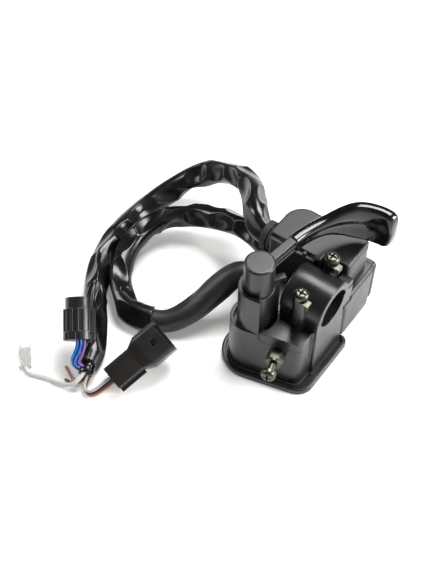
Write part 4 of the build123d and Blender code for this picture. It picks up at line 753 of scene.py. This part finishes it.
def lever_stations():
    """Place, growth and rise along the cover's middle line."""
    xs = [hub_place[0] + share[0] * lever_reach for share in lever_shares]
    ys = [hub_place[1] + share[1] * lever_reach for share in lever_shares]
    stations = []
    for step in range((len(lever_shares) - 1) * station_steps + 1):
        position = step / station_steps
        growth = min(max(smooth_between(lever_growth, position), 0.0), 1.0)
        rise = min(max(smooth_between(lever_rise, position), 0.0), 1.0)
        stations.append((smooth_between(xs, position), smooth_between(ys, position), growth, rise))
    return stations


def make_lever_cover():
    """Dipped cover of arm and paddle.

    It has a squarish tip and on the thumb's side a lip, with a hollow above it. The arm has a
    soft groove along its middle."""
    stations = lever_stations()
    last = len(stations) - 1
    vertices = []
    for index, (x, y, growth, rise) in enumerate(stations):
        before = stations[max(index - 1, 0)]
        after = stations[min(index + 1, last)]
        ahead = Vector((after[0] - before[0], after[1] - before[1], 0)).normalized()
        side = Vector((ahead.y, -ahead.x, 0))
        thick = between(arm_section[0], paddle_section[0], growth)
        low = between(arm_section[1], paddle_section[1], growth)
        high = between(arm_section[2], paddle_section[2], rise)
        left = min((last - index) / (tip_stations * station_steps), 1.0)
        tip = (1.0 - (1.0 - left) ** tip_slope_power) ** tip_round_power
        height_left = between(tip_height, 1.0, tip)
        if index == last:
            height_left *= end_height
        for step in range(lever_around):
            angle = full_turn * step / lever_around
            sideways = rounded_power(math.cos(angle), side_power) * thick / 2
            upwards = rounded_power(math.sin(angle), rise_power) * (high - low) / 2
            facing = max(0.0, math.cos(angle)) ** 0.5
            level = upwards / (high - low) + 0.5
            relief = growth * (ridge(level, lip_form) - ridge(level, hollow_form))
            relief -= (1.0 - growth) * ridge(level, groove_form)
            sideways += facing * relief
            place = Vector((x, y, (low + high) / 2))
            place += side * sideways * between(tip_thickness, 1.0, tip)
            place += Vector((0, 0, upwards * height_left))
            vertices.append(place * MM)
    return mesh_object("lever_cover", vertices, ring_faces(len(stations), lever_around))


lever_cover = make_lever_cover()
dressed(lever_cover, "lever", "grip_gloss", "grip_gloss", "lever_grip")


# Floor, backdrop and light
floor_half = 12.0
floor_tints = (0.86, 0.855, 0.835), (0.88, 0.875, 0.86)
floor_glow = 0.20
glow_colour = (1.0, 0.995, 0.97, 1.0)


def make_floor():
    """Pale floor. Its glow shows to the camera, in reflections and through clear pieces alone."""
    look = Look("floor")
    share = look.ranged(look.noise(3.0, 2.0), 0.3, 0.7, 0.0, 1.0)
    paint = look.add("ShaderNodeBsdfDiffuse")
    look.wire(look.mixed(share, *floor_tints), paint.inputs["Color"])
    glow = look.add("ShaderNodeEmission")
    glow.inputs["Color"].default_value = glow_colour
    path = look.add("ShaderNodeLightPath")
    seen = look.combined("MAXIMUM", path.outputs["Is Camera Ray"], path.outputs["Is Glossy Ray"])
    seen = look.combined("MAXIMUM", seen, path.outputs["Is Transmission Ray"])
    look.wire(look.combined("MULTIPLY", seen, floor_glow), glow.inputs["Strength"])
    both = look.add("ShaderNodeAddShader")
    look.wire(paint.outputs["BSDF"], both.inputs[0])
    look.wire(glow.outputs["Emission"], both.inputs[1])
    output = look.add("ShaderNodeOutputMaterial")
    look.wire(both.outputs["Shader"], output.inputs["Surface"])
    signs = [(-1, -1), (1, -1), (1, 1), (-1, 1)]
    corners = [(x * floor_half, y * floor_half, floor_height) for x, y in signs]
    floor = mesh_object("floor", corners, [(0, 1, 2, 3)], False)
    floor.data.materials.append(look.material)


# The backdrop's strength: from and to on its axis, then the strengths there
backdrop_sideways = (-0.1, 0.9, 0.18, 0.90)
backdrop_upwards = (0.1, 0.75, 1.0, 0.45)


def make_world():
    """Pale paper all round, darker overhead and on the left, and white where the camera looks."""
    world = bpy.data.worlds.new("studio")
    scene.world = world
    world.use_nodes = True
    paper = Nodes(world.node_tree)
    place = paper.add("ShaderNodeTexCoord")
    split = paper.add("ShaderNodeSeparateXYZ")
    paper.wire(place.outputs["Generated"], split.inputs["Vector"])
    sideways = paper.ranged(split.outputs["X"], *backdrop_sideways, "SMOOTHSTEP")
    upwards = paper.ranged(split.outputs["Z"], *backdrop_upwards, "SMOOTHSTEP")
    both = paper.combined("MULTIPLY", sideways, upwards)
    path = paper.add("ShaderNodeLightPath")
    seen = paper.combined("MAXIMUM", both, path.outputs["Is Camera Ray"])
    light = paper.add("ShaderNodeBackground")
    light.inputs["Color"].default_value = (1.0, 1.0, 1.0, 1.0)
    paper.wire(seen, light.inputs["Strength"])
    output = paper.add("ShaderNodeOutputWorld")
    paper.wire(light.outputs["Background"], output.inputs["Surface"])


def softbox(name, place, target, width, height, watts):
    lamp = bpy.data.lights.new(name, "AREA")
    lamp.shape = "RECTANGLE"
    lamp.size = width
    lamp.size_y = height
    lamp.energy = watts
    made = bpy.data.objects.new(name, lamp)
    scene.collection.objects.link(made)
    made.location = place
    made.rotation_euler = (Vector(target) - Vector(place)).to_track_quat("-Z", "Y").to_euler()


scene.view_settings.view_transform = "Standard"
make_floor()
make_world()
softbox(
    "softbox_top", place=(-0.10, 0.50, 1.05), target=(-0.05, 0.0, 0.0),
    width=0.55, height=0.50, watts=17.0,
)
softbox(
    "softbox_right", place=(0.85, 0.42, 0.42), target=(0.0, 0.0, 0.0),
    width=0.35, height=0.60, watts=18.0,
)
softbox(
    "softbox_left", place=(-0.85, -0.30, 0.60), target=(-0.05, 0.0, 0.0),
    width=0.22, height=0.55, watts=4.5,
)
